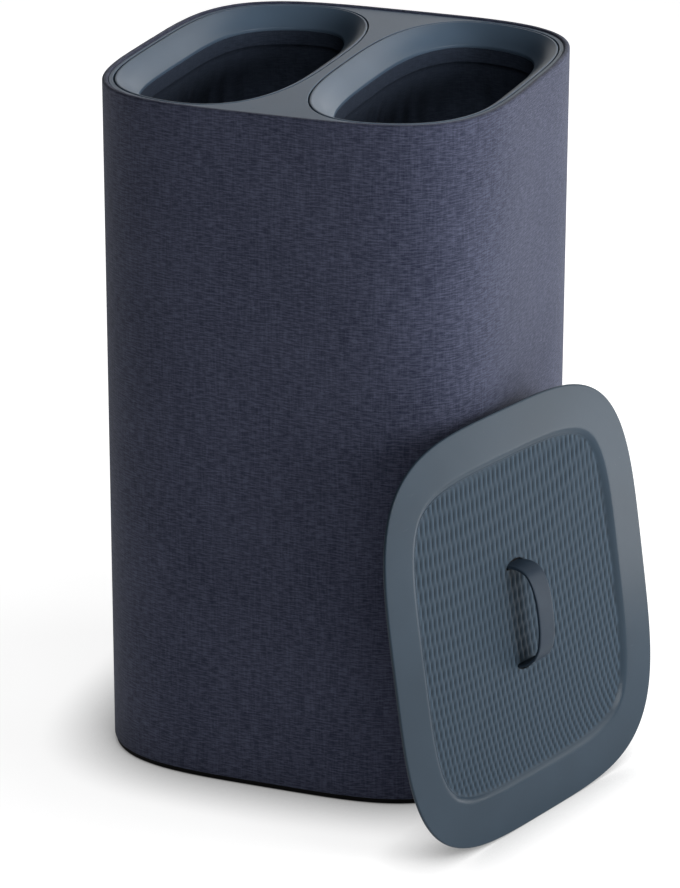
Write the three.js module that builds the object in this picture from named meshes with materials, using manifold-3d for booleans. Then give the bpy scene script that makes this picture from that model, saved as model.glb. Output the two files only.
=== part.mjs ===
// Laundry hamper with two lift-out bins and a loose dished lid that leans against its side.
// Millimetres, +Z up. The origin is the middle of the foot plane, and -Y is the front.
import * as THREE from 'three';
import { mergeVertices } from 'three/addons/utils/BufferGeometryUtils.js';
import Module from 'manifold-3d';

const wasm = await Module();
wasm.setup();

// Overall form: an upright prism on a square with bowed sides and very round corners.
const HEIGHT = 610;
const HALF_WIDTH = 180;
const OUTLINE_POWER = 3.8;
const OUTLINE_STEPS = 60;
const FINE_STEPS = 1200;
const CLEARANCE = 0.3;

// Wall and its fabric cover, which turns in over the top edge.
const WALL = 2.6;
const FABRIC = 1;
const FABRIC_TURN_IN = 22;
const FABRIC_EDGE_ROUND = 1.2;
const SEAM_STRIP_WIDTH = 38;
const SEAM_STRIP = 1.2;
const SEAM_STRIP_END_GAP = 2;

// Base tray and its pads.
const PLINTH_INSET = 2.6;
const PLINTH_HEIGHT = 5;
const BASE_FLOOR = 4;
const BASE_UPSTAND = 24;
const BASE_UPSTAND_WALL = 2.4;
const PAD_RADIUS = 14;
const PAD_THICKNESS = 2.5;
const PAD_PROUD = 1;
const PAD_INSET = 65;
const PAD_STEPS = 24;

// Top frame: a deck just below the wall's edge, with an opening and a ledge for each bin.
const DECK_DROP = 1.4;
const DECK = 2.2;
const FRAME_SKIRT = 1.6;
const FRAME_SKIRT_HEIGHT = 34;
const OPENING_MARGIN = 8.3;
const BAR_WIDTH = 9.2;
const LOBE_REACH = 99.4;
const LOBE_POWER = 3;
const OPENING_STEPS = 48;
const OPENING_HALVINGS = 40;
const LEDGE_DEPTH = 6;
const LEDGE = 2.2;
const LEDGE_REACH = 4.6;
const LIP_WALL = 1.6;

// Bin ring: a funnel whose band slopes in and down to a short spigot.
const RING_GAP = 1.2;
const RING = 2;
const RING_EDGE = 1.8;
const BAND_REACH = 20.5;
const BAND_DEPTH = 16;
const BAND_SAG = 1.6;
const SPIGOT_DEPTH = 14;

// Bag, the hoop that traps its hem on the spigot, and its bottom board.
const BAG = 1.2;
const BAG_SIDE_INSET = 9.5;
const BAG_SHOULDER = 46;
const BAG_CORNER = 12;
const BAG_FLOOR_GAP = 3;
const HEM_ABOVE_SHOULDER = 12.5;
const HOOP = 1.8;
const HOOP_HEIGHT = 9;
const BOARD = 2.4;

// Lid: a flat rim round a shallow tray, with locating ribs that drop into the two openings.
const LID_RIM = 36;
const LID_EDGE = 3;
const LID_EDGE_ROUND = 1;
const TRAY_DEPTH = 3.5;
const TRAY_WALL_RUN = 8;
const TRAY_FLOOR = 2.2;
const BEARING_INSET = 5.8;
const BEARING_RIB = 2.2;
const BEARING_HEIGHT = 4;
const LOCATING_INSET = 30.5;
const LOCATING_RIB = 2.2;
const LOCATING_DEPTH = 21;
const LOCATING_HALF_GAP = 96;
const LID_YAW = THREE.MathUtils.degToRad(72.8);
const LID_LEAN = THREE.MathUtils.degToRad(9.1);

// Strap handle: a flexible band through two slots, held by a clip under each slot.
const STRAP_HALF_SPAN = 44.6;
const STRAP_RISE = 26;
const STRAP = 2.4;
const STRAP_WIDTH = 21;
const STRAP_END_WIDTH = 23;
const STRAP_FLARE_POWER = 3;
const STRAP_STEPS = 24;
const STRAP_HEAD = 2.6;
const STRAP_HEAD_LENGTH = 9;
const SLOT_WIDTH = 28;
const SLOT_LENGTH = 8;
const SLOT_PLAY = 1;
const CLIP = 2;
const CLIP_WIDTH = 36;
const CLIP_LENGTH = 18;
// Along the span from the low end to the high end, and the height reached: steeper at the high end.
const STRAP_ARCH_SHARES = [
  [-1, 0], [-0.96, 0.25], [-0.83, 0.62], [-0.62, 0.85], [-0.3, 0.97], [0, 1], [0.35, 0.98], [0.66, 0.88],
  [0.87, 0.7], [0.975, 0.38], [1, 0],
];

const OVERRUN = 2;

// Insets from the fabric's outer face and heights, worked out from the sizes above.
const wallOuter = FABRIC + CLEARANCE;
const wallInner = wallOuter + WALL;
const turnOuter = wallInner + CLEARANCE;
const turnInner = turnOuter + FABRIC;
const frameOuter = turnInner + CLEARANCE;
const deckTop = HEIGHT - DECK_DROP;
const openingHalf = HALF_WIDTH - OPENING_MARGIN;
const openingStart = BAR_WIDTH / 2;
const openingMiddle = (openingStart + openingHalf) / 2;
const wallBottom = PLINTH_HEIGHT + CLEARANCE;
const wallTop = HEIGHT - FABRIC - CLEARANCE;
const skirtBottom = deckTop - FRAME_SKIRT_HEIGHT;
const upstandOuter = wallInner + CLEARANCE;
const upstandTop = PLINTH_HEIGHT + BASE_UPSTAND;

const material = {
  fabric: new THREE.MeshStandardMaterial({ color: 0x2f3242, roughness: 0.95, metalness: 0 }),
  board: new THREE.MeshStandardMaterial({ color: 0x8c7b64, roughness: 0.9, metalness: 0 }),
  black: new THREE.MeshStandardMaterial({ color: 0x17181b, roughness: 0.6, metalness: 0 }),
  slate: new THREE.MeshStandardMaterial({ color: 0x66717c, roughness: 0.55, metalness: 0 }),
  ring: new THREE.MeshStandardMaterial({ color: 0x6f7b86, roughness: 0.5, metalness: 0 }),
  bag: new THREE.MeshStandardMaterial({ color: 0x20242d, roughness: 0.95, metalness: 0 }),
  rubber: new THREE.MeshStandardMaterial({ color: 0x121214, roughness: 0.85, metalness: 0 }),
  strap: new THREE.MeshStandardMaterial({ color: 0x5c6873, roughness: 0.6, metalness: 0 }),
};

// An outline is a closed run of points with their outward normals, so that it can be inset.
function inset(outline, distance) {
  return outline.map(({ point, normal }) => point.clone().addScaledVector(normal, -distance));
}

function bowedSquare(half, power, steps) {
  const side = (value) => Math.sign(value) * Math.abs(value) ** (2 / power);
  return Array.from({ length: steps }, (unused, i) => {
    const turn = (2 * Math.PI * i) / steps;
    const point = new THREE.Vector2(side(Math.cos(turn)), side(Math.sin(turn))).multiplyScalar(half);
    const slope = (value) => Math.sign(value) * Math.abs(value / half) ** (power - 1);
    return { point, normal: new THREE.Vector2(slope(point.x), slope(point.y)).normalize() };
  });
}

// Half the depth of the right-hand opening at x: the wall's own outline, rounded off towards the bar.
function openingHalfDepth(x) {
  const wall = openingHalf * Math.max(0, 1 - (x / openingHalf) ** OUTLINE_POWER) ** (1 / OUTLINE_POWER);
  const past = Math.min(1, Math.max(0, openingStart + LOBE_REACH - x) / LOBE_REACH);
  return wall * (1 - past ** LOBE_POWER) ** (1 / LOBE_POWER);
}

// The point of the opening's edge on a ray from its middle, found by halving the ray's far end.
function openingPoint(turn) {
  const width = openingHalf - openingStart;
  const depth = openingHalf * 2;
  const ray = new THREE.Vector2(width * Math.cos(turn), depth * Math.sin(turn)).normalize();
  let near = 0;
  let far = depth;
  for (let halving = 0; halving < OPENING_HALVINGS; halving += 1) {
    const reach = (near + far) / 2;
    const x = openingMiddle + ray.x * reach;
    const within = x > openingStart && x < openingHalf && Math.abs(ray.y) * reach < openingHalfDepth(x);
    if (within) near = reach;
    else far = reach;
  }
  return new THREE.Vector2(openingMiddle, 0).addScaledVector(ray, near);
}

function openingOutline(steps) {
  const nudge = (2 * Math.PI) / FINE_STEPS;
  return Array.from({ length: steps }, (unused, i) => {
    const turn = (2 * Math.PI * (i + 1 / 2)) / steps;
    const along = openingPoint(turn + nudge).sub(openingPoint(turn - nudge)).normalize();
    return { point: openingPoint(turn), normal: new THREE.Vector2(along.y, -along.x) };
  });
}

function rotateOutline(outline, turn) {
  const origin = new THREE.Vector2();
  return outline.map(({ point, normal }) => ({
    point: point.clone().rotateAround(origin, turn),
    normal: normal.clone().rotateAround(origin, turn),
  }));
}

function indexed(positions, triangles) {
  const geometry = new THREE.BufferGeometry();
  geometry.setAttribute('position', new THREE.Float32BufferAttribute(positions, 3));
  geometry.setIndex(triangles);
  return facingOut(geometry);
}

function facingOut(geometry) {
  const { array } = geometry.attributes.position;
  const corner = (k) => new THREE.Vector3().fromArray(array, geometry.index.getX(k) * 3);
  let volume = 0;
  for (let k = 0; k < geometry.index.count; k += 3) {
    volume += corner(k).dot(corner(k + 1).cross(corner(k + 2)));
  }
  if (volume < 0) geometry.setIndex(Array.from(geometry.index.array).reverse());
  geometry.computeVertexNormals();
  return geometry;
}

// Rings of points, one per [inset, height] pair of the profile, joined in order by quads.
function rings(outline, profile) {
  const ring = ([distance, z]) => inset(outline, distance).flatMap(({ x, y }) => [x, y, z]);
  const positions = profile.flatMap(ring);
  const count = outline.length;
  const band = (from, to) => Array.from({ length: count }, (unused, i) => {
    const next = (i + 1) % count;
    const [a, b, c, d] = [from * count + i, from * count + next, to * count + next, to * count + i];
    return [a, b, c, a, c, d];
  }).flat();
  return { positions, band, count };
}

// A hoop whose section is the closed profile.
function hoop(outline, profile) {
  const { positions, band } = rings(outline, profile);
  return indexed(positions, profile.flatMap((unused, i) => band(i, (i + 1) % profile.length)));
}

// A closed body from a first flat cap, over the profile, to a last flat cap.
function capped(outline, profile) {
  const { positions, band, count } = rings(outline, profile);
  const middle = outline.reduce((sum, { point }) => sum.add(point), new THREE.Vector2()).divideScalar(count);
  const last = profile.length - 1;
  const centre = positions.length / 3;
  positions.push(middle.x, middle.y, profile[0][1], middle.x, middle.y, profile[last][1]);
  const triangles = profile.slice(1).flatMap((unused, i) => band(i, i + 1));
  for (let i = 0; i < count; i += 1) {
    const next = (i + 1) % count;
    triangles.push(centre, next, i, centre + 1, last * count + i, last * count + next);
  }
  return indexed(positions, triangles);
}

function solid(geometry) {
  const bare = geometry.clone();
  bare.deleteAttribute('normal');
  if (bare.attributes.uv) bare.deleteAttribute('uv');
  const merged = mergeVertices(bare);
  const mesh = new wasm.Mesh({
    numProp: 3,
    vertProperties: new Float32Array(merged.attributes.position.array),
    triVerts: new Uint32Array(merged.index.array),
  });
  return new wasm.Manifold(mesh);
}

function geometryOf(body) {
  const { vertProperties, triVerts } = body.getMesh();
  return indexed(Array.from(vertProperties), Array.from(triVerts));
}

function join(...geometries) {
  return geometryOf(geometries.map(solid).reduce((whole, part) => whole.add(part)));
}

function cut(geometry, ...tools) {
  return geometryOf(tools.map(solid).reduce((left, tool) => left.subtract(tool), solid(geometry)));
}

// A block given by its low and high corners.
function block(low, high) {
  const size = high.map((value, axis) => value - low[axis]);
  return new THREE.BoxGeometry(...size).translate(...size.map((value, axis) => low[axis] + value / 2));
}

function disc(radius, thickness) {
  const lying = new THREE.CylinderGeometry(radius, radius, thickness, PAD_STEPS).rotateX(Math.PI / 2);
  return lying.translate(0, 0, thickness / 2);
}

function piece(parent, name, geometry, look, [x, y, z] = [0, 0, 0]) {
  const mesh = new THREE.Mesh(geometry, look);
  mesh.name = name;
  mesh.position.set(x, y, z);
  parent.add(mesh);
  return mesh;
}

const outer = bowedSquare(HALF_WIDTH, OUTLINE_POWER, OUTLINE_STEPS);
const opening = openingOutline(OPENING_STEPS);

// Base: a moulded tray on a set-back plinth, its upstand inside the wall, and pads let into it.
const padReach = HALF_WIDTH - PAD_INSET;
const padPlaces = {
  centre: [0, 0],
  front_left: [-padReach, -padReach],
  back_left: [-padReach, padReach],
  front_right: [padReach, -padReach],
  back_right: [padReach, padReach],
};

function baseTray() {
  const floorTop = PAD_PROUD + BASE_FLOOR;
  const innerFace = upstandOuter + BASE_UPSTAND_WALL;
  const tray = capped(outer, [
    [innerFace + BASE_UPSTAND_WALL, floorTop],
    [innerFace, floorTop + BASE_UPSTAND_WALL],
    [innerFace, upstandTop],
    [upstandOuter, upstandTop],
    [upstandOuter, PLINTH_HEIGHT],
    [FABRIC, PLINTH_HEIGHT],
    [PLINTH_INSET, PLINTH_HEIGHT - (PLINTH_INSET - FABRIC)],
    [PLINTH_INSET, PAD_PROUD],
  ]);
  const pocket = disc(PAD_RADIUS + CLEARANCE, PAD_THICKNESS + CLEARANCE);
  return cut(tray, ...Object.values(padPlaces).map(([x, y]) => pocket.clone().translate(x, y, 0)));
}

function addBase(root) {
  piece(root, 'base_tray', baseTray(), material.black);
  Object.entries(padPlaces).forEach(([place, [x, y]]) => {
    piece(root, `foot_pad_${place}`, disc(PAD_RADIUS, PAD_THICKNESS), material.rubber, [x, y, 0]);
  });
}

// Wall: a rolled board with a strip behind its joint, and the fabric that wraps it.
function addWall(root) {
  const board = hoop(outer, [
    [wallOuter, wallBottom], [wallOuter, wallTop], [wallInner, wallTop], [wallInner, wallBottom],
  ]);
  piece(root, 'wall_board', board, material.board);

  const stripOuter = HALF_WIDTH - wallInner - CLEARANCE;
  const stripLow = upstandTop + SEAM_STRIP_END_GAP;
  const stripHigh = skirtBottom - SEAM_STRIP_END_GAP;
  const strip = block(
    [-SEAM_STRIP_WIDTH / 2, stripOuter - SEAM_STRIP, stripLow],
    [SEAM_STRIP_WIDTH / 2, stripOuter, stripHigh],
  );
  piece(root, 'wall_seam_strip', strip, material.board);

  const round = FABRIC_EDGE_ROUND;
  const cover = [
    [0, wallBottom],
    [0, HEIGHT - round],
    [round / 4, HEIGHT - round / 4],
    [round, HEIGHT],
    [turnInner - round, HEIGHT],
    [turnInner - round / 4, HEIGHT - round / 4],
    [turnInner, HEIGHT - round],
    [turnInner, HEIGHT - FABRIC_TURN_IN],
    [turnOuter, HEIGHT - FABRIC_TURN_IN],
    [turnOuter, HEIGHT - FABRIC],
    [FABRIC, HEIGHT - FABRIC],
    [FABRIC, wallBottom],
  ];
  piece(root, 'fabric_cover', hoop(outer, cover), material.fabric);
}

// Top frame: deck, skirt, and round each opening a lip wall that ends in the ledge.
function topFrame() {
  const plate = new THREE.Shape(inset(outer, frameOuter));
  const right = inset(opening, 0);
  const left = inset(rotateOutline(opening, Math.PI), 0);
  plate.holes.push(new THREE.Path(right), new THREE.Path(left));
  const deck = new THREE.ExtrudeGeometry(plate, { depth: DECK, bevelEnabled: false }).translate(0, 0, -DECK);
  const skirt = hoop(outer, [
    [frameOuter, 0], [frameOuter, -FRAME_SKIRT_HEIGHT],
    [frameOuter + FRAME_SKIRT, -FRAME_SKIRT_HEIGHT], [frameOuter + FRAME_SKIRT, 0],
  ]);
  const seats = [0, Math.PI].map((turn) => hoop(rotateOutline(opening, turn), [
    [-LIP_WALL, 0], [0, 0], [0, -LEDGE_DEPTH], [LEDGE_REACH, -LEDGE_DEPTH],
    [LEDGE_REACH, -LEDGE_DEPTH - LEDGE], [-LIP_WALL, -LEDGE_DEPTH - LEDGE],
  ]));
  return join(deck, skirt, ...seats);
}

// Heights of the bin's pieces count from the deck, down to the neck where the ring's spigot ends.
const neck = -BAND_DEPTH - SPIGOT_DEPTH;

// Bin ring: edge, sloping band, spigot below, and a leg on the ledge.
function binRing() {
  const bandStart = RING_GAP + RING_EDGE;
  const bandEnd = RING_GAP + BAND_REACH;
  const band = [1 / 4, 1 / 2, 3 / 4].map((share) => [
    bandStart + (bandEnd - bandStart) * share,
    -BAND_DEPTH * share + BAND_SAG * Math.sin(Math.PI * share),
  ]);
  const under = [3 / 4, 1 / 4].map((share) => [
    bandStart + (bandEnd - bandStart) * share - RING / 2,
    -BAND_DEPTH * share + BAND_SAG * Math.sin(Math.PI * share) - RING,
  ]);
  return hoop(opening, [
    [RING_GAP, -RING_EDGE / 3],
    [RING_GAP + RING_EDGE / 3, 0],
    [bandStart, -RING_EDGE / 6],
    ...band,
    [bandEnd, -BAND_DEPTH],
    [bandEnd, neck],
    [bandEnd - RING, neck],
    [bandEnd - RING, -BAND_DEPTH - RING / 2],
    ...under,
    [RING_GAP + RING, -RING * 2],
    [RING_GAP + RING, CLEARANCE - LEDGE_DEPTH],
    [RING_GAP, CLEARANCE - LEDGE_DEPTH],
  ]);
}

const hemInner = RING_GAP + BAND_REACH - RING - CLEARANCE;
const hemOuter = hemInner - BAG;
const hemTop = neck + HEM_ABOVE_SHOULDER;
const bagBottom = PAD_PROUD + BASE_FLOOR + BAG_FLOOR_GAP - deckTop;
const bagSideInner = BAG_SIDE_INSET + BAG;

// The bag's body: its side wall and bottom, up to the seam below the shoulder.
function bag() {
  const seam = neck - BAG_SHOULDER - CLEARANCE;
  return capped(opening, [
    [bagSideInner + BAG_CORNER, bagBottom + BAG],
    [bagSideInner, bagBottom + BAG_CORNER],
    [bagSideInner, seam],
    [BAG_SIDE_INSET, seam],
    [BAG_SIDE_INSET, bagBottom + BAG_CORNER],
    [BAG_SIDE_INSET + BAG_CORNER, bagBottom],
  ]);
}

// The bag's shoulder, sewn edge to edge on the body, with the hem that goes round the spigot.
function bagShoulder() {
  return hoop(opening, [
    [bagSideInner, neck - BAG_SHOULDER],
    [hemInner, neck],
    [hemInner, hemTop],
    [hemOuter, hemTop],
    [hemOuter, neck],
    [BAG_SIDE_INSET, neck - BAG_SHOULDER],
  ]);
}

function bagHoop() {
  const outerFace = hemOuter - CLEARANCE - HOOP;
  const innerFace = hemOuter - CLEARANCE;
  return hoop(opening, [[outerFace, 0], [outerFace, HOOP_HEIGHT], [innerFace, HOOP_HEIGHT], [innerFace, 0]]);
}

function bagBoard() {
  const edge = bagSideInner + BAG_CORNER;
  return capped(opening, [[edge, BOARD], [edge, 0]]);
}

function addBin(root, side, turn) {
  const bin = new THREE.Group();
  bin.position.z = deckTop;
  bin.rotation.z = turn;
  root.add(bin);
  const hoopFoot = neck + (HEM_ABOVE_SHOULDER - HOOP_HEIGHT) / 2;
  piece(bin, `${side}_bin_ring`, binRing(), material.ring);
  piece(bin, `${side}_bag`, bag(), material.bag);
  piece(bin, `${side}_bag_shoulder`, bagShoulder(), material.bag);
  piece(bin, `${side}_bag_hoop`, bagHoop(), material.black, [0, 0, hoopFoot]);
  piece(bin, `${side}_bag_board`, bagBoard(), material.bag, [0, 0, bagBottom + BAG + CLEARANCE]);
}

// Lid, lying flat with height 0 at its rim: dished panel, bearing rib and two locating ribs.
function lidProfile() {
  const trayWall = [0, 1 / 4, 1 / 2, 3 / 4, 1].map((share) => [
    LID_RIM + TRAY_WALL_RUN * share,
    (-TRAY_DEPTH * (1 - Math.cos(Math.PI * share))) / 2,
  ]);
  const underWall = [1 / 4, 3 / 4, 1].map((share) => [
    LID_RIM - TRAY_FLOOR / 2 + TRAY_WALL_RUN * share,
    -LID_EDGE - (TRAY_DEPTH + TRAY_FLOOR - LID_EDGE) * share,
  ]);
  const round = LID_EDGE_ROUND;
  return [
    ...trayWall.reverse(),
    [round, 0],
    [round / 4, -round / 3],
    [0, -LID_EDGE / 2],
    [round / 4, round / 3 - LID_EDGE],
    [round, -LID_EDGE],
    ...underWall,
  ];
}

function lidPanel() {
  const panel = capped(outer, lidProfile());
  const rib = (distance, thickness, depth) => hoop(outer, [
    [distance, -LID_EDGE / 2], [distance, -LID_EDGE - depth],
    [distance + thickness, -LID_EDGE - depth], [distance + thickness, -LID_EDGE / 2],
  ]);
  const bearing = rib(BEARING_INSET, BEARING_RIB, BEARING_HEIGHT);
  const locating = rib(LOCATING_INSET, LOCATING_RIB, LOCATING_DEPTH);
  const between = block(
    [-LOCATING_HALF_GAP, -HALF_WIDTH, -LID_EDGE - LOCATING_DEPTH - OVERRUN],
    [LOCATING_HALF_GAP, HALF_WIDTH, 0],
  );
  return cut(join(panel, bearing, cut(locating, between)), ...[-1, 1].map(strapSlot));
}

// A slot through the tray floor: straight beside the band and bowed outwards past it.
function strapSlot(side) {
  const shape = new THREE.Shape();
  shape.absellipse(-STRAP / 2 - SLOT_PLAY, 0, SLOT_LENGTH, SLOT_WIDTH / 2, -Math.PI / 2, Math.PI / 2, false);
  const depth = TRAY_FLOOR + OVERRUN * 2;
  const slot = new THREE.ExtrudeGeometry(shape, { depth, bevelEnabled: false, curveSegments: PAD_STEPS / 2 });
  const turned = side < 0 ? slot.rotateZ(Math.PI) : slot;
  return turned.translate(side * STRAP_HALF_SPAN, 0, -TRAY_DEPTH - TRAY_FLOOR - OVERRUN);
}

const clipTop = -TRAY_DEPTH - TRAY_FLOOR - CLEARANCE;
const strapEnd = clipTop - CLIP - CLEARANCE - STRAP_HEAD;

// Strap: the band's arch, two legs down through the slots, and a wide head on each leg.
function strapHandle() {
  const arch = new THREE.CatmullRomCurve3(STRAP_ARCH_SHARES.map(([along, up]) => new THREE.Vector3(
    along * STRAP_HALF_SPAN, 0, -TRAY_DEPTH + up * STRAP_RISE,
  )));
  const line = arch.getSpacedPoints(STRAP_STEPS);
  const leg = (side) => new THREE.Vector3(side * STRAP_HALF_SPAN, 0, strapEnd);
  const centres = [leg(-1), ...line, leg(1)];
  const positions = centres.flatMap((centre, i) => {
    const before = centres[Math.max(0, i - 1)];
    const after = centres[Math.min(centres.length - 1, i + 1)];
    const along = after.clone().sub(before).normalize();
    const across = new THREE.Vector3(-along.z, 0, along.x).multiplyScalar(STRAP / 2);
    const share = Math.min(1, Math.abs(centre.x) / STRAP_HALF_SPAN) ** STRAP_FLARE_POWER;
    const half = (STRAP_WIDTH + (STRAP_END_WIDTH - STRAP_WIDTH) * share) / 2;
    const corners = [[half, 1], [-half, 1], [-half, -1], [half, -1]];
    return corners.flatMap(([y, face]) => [centre.x + face * across.x, y, centre.z + face * across.z]);
  });
  const triangles = [0, 2, 1, 0, 3, 2];
  for (let i = 0; i + 1 < centres.length; i += 1) {
    for (let j = 0; j < 4; j += 1) {
      const [a, b] = [i * 4 + j, i * 4 + ((j + 1) % 4)];
      triangles.push(a, b, b + 4, a, b + 4, a + 4);
    }
  }
  const end = (centres.length - 1) * 4;
  triangles.push(end, end + 1, end + 2, end, end + 2, end + 3);
  const heads = [-1, 1].map((side) => block(
    [side * STRAP_HALF_SPAN - STRAP_HEAD_LENGTH / 2, -STRAP_END_WIDTH / 2, strapEnd],
    [side * STRAP_HALF_SPAN + STRAP_HEAD_LENGTH / 2, STRAP_END_WIDTH / 2, strapEnd + STRAP_HEAD],
  ));
  return join(indexed(positions, triangles), ...heads);
}

// Clip: a plate under the slot, with a narrow slot for the band's leg above the head.
function strapClip() {
  const plate = block([-CLIP_LENGTH / 2, -CLIP_WIDTH / 2, -CLIP], [CLIP_LENGTH / 2, CLIP_WIDTH / 2, 0]);
  const gapHalf = STRAP / 2 + CLEARANCE;
  const passage = block(
    [-gapHalf, -STRAP_END_WIDTH / 2 - CLEARANCE, -CLIP - OVERRUN],
    [gapHalf, STRAP_END_WIDTH / 2 + CLEARANCE, OVERRUN],
  );
  return cut(plate, passage);
}

// How far the outline reaches in a level direction, and the point that does.
function support(outline, direction) {
  const further = (best, point) => (point.dot(direction) > best.dot(direction) ? point : best);
  return outline.map(({ point }) => point).reduce(further);
}

// The lid stands on its edge and leans back until the upper locating rib meets the wall.
function addLid(root) {
  const away = new THREE.Vector2(Math.sin(LID_YAW), -Math.cos(LID_YAW));
  const touch = support(bowedSquare(HALF_WIDTH, OUTLINE_POWER, FINE_STEPS), away);
  const ribHeight = HALF_WIDTH - LOCATING_INSET;
  const ribDepth = LID_EDGE + LOCATING_DEPTH;
  const standOff = ribDepth * Math.cos(LID_LEAN) + ribHeight * Math.sin(LID_LEAN) + CLEARANCE;
  const footDrop = Math.min(...lidProfile().map(([distance, z]) => (
    -(HALF_WIDTH - distance) * Math.cos(LID_LEAN) + z * Math.sin(LID_LEAN)
  )));

  const level = new THREE.Vector3(away.x, away.y, 0);
  const upright = new THREE.Vector3(0, 0, 1);
  const face = level.clone().multiplyScalar(Math.cos(LID_LEAN)).addScaledVector(upright, Math.sin(LID_LEAN));
  const up = upright.multiplyScalar(Math.cos(LID_LEAN)).addScaledVector(level, -Math.sin(LID_LEAN));
  const across = new THREE.Vector3().crossVectors(face, up);
  const lid = new THREE.Group();
  lid.quaternion.setFromRotationMatrix(new THREE.Matrix4().makeBasis(up, across, face));
  lid.position.set(touch.x + away.x * standOff, touch.y + away.y * standOff, -footDrop);
  root.add(lid);

  piece(lid, 'lid_panel', lidPanel(), material.slate);
  piece(lid, 'lid_strap', strapHandle(), material.strap);
  piece(lid, 'lid_strap_clip_low', strapClip(), material.black, [-STRAP_HALF_SPAN, 0, clipTop]);
  piece(lid, 'lid_strap_clip_high', strapClip(), material.black, [STRAP_HALF_SPAN, 0, clipTop]);
}

const hamper = new THREE.Group();
hamper.name = 'laundry_hamper';
addBase(hamper);
addWall(hamper);
piece(hamper, 'top_frame', topFrame(), material.slate, [0, 0, deckTop]);
addBin(hamper, 'left', Math.PI);
addBin(hamper, 'right', 0);
addLid(hamper);

export default hamper;
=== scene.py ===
"""Looks of a laundry hamper with two lift-out bins and a loose lid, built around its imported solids.

Sizes in this file are millimetres. They become metres, as in the frame, when a mesh is placed.
"""
import logging
import math
from dataclasses import dataclass, field
from enum import Enum
from typing import Sequence

import bpy
import numpy as np
from mathutils import Matrix, Vector


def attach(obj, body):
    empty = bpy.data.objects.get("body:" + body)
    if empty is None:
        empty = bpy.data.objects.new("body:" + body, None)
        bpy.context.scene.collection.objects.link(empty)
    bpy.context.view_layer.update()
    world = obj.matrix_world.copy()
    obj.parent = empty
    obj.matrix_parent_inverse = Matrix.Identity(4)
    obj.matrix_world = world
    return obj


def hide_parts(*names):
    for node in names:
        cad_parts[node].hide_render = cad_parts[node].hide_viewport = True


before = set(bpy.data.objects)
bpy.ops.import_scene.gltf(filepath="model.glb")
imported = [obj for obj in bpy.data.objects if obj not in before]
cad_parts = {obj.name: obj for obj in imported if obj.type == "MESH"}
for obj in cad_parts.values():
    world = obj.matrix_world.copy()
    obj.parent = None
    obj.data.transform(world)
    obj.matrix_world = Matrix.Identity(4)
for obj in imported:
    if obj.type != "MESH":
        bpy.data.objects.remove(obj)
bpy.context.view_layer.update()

MM = 0.001
FULL_TURN = 2 * math.pi
LOG = logging.getLogger("hamper")

ARC_SHARE = 0.42  # a rounded corner takes up at most this share of each side
HOLD_SHARE = 1.15  # a holding point stands this far along a side, in arc lengths
MERGE = 0.002 * MM
SHEEN_TINT = (0.84, 0.88, 1.0, 1.0)

Pair = tuple[float, float]
Triple = tuple[float, float, float]
Colour = tuple[float, float, float]


class Section(Enum):
    """How the first and last ring of a loft are closed."""

    HOOP = "the last ring lies on the first"
    CAPPED = "each end ring gets a flat cap"
    OPEN = "both end rings stay open"


class Side(Enum):
    """Which of the two bins is meant."""

    LEFT = "left"
    RIGHT = "right"


# ---------------------------------------------------------------- outlines and lofts


def smooth(value: np.ndarray | float, low: float, high: float) -> np.ndarray | float:
    """Ease a value from 0 at low to 1 at high."""
    share = np.clip((value - low) / (high - low), 0, 1)
    return share * share * (3 - 2 * share)


@dataclass(frozen=True)
class Form:
    """The sizes that the outlines of wall, openings and lid share."""

    height: float = 610.0
    half: float = 180.0
    power: float = 3.8
    deck_drop: float = 1.4
    opening_margin: float = 8.3
    bar: float = 9.2
    lobe_reach: float = 99.4
    lobe_power: float = 3.0

    @property
    def deck(self) -> float:
        """Height of the deck's top face."""
        return self.height - self.deck_drop


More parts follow.
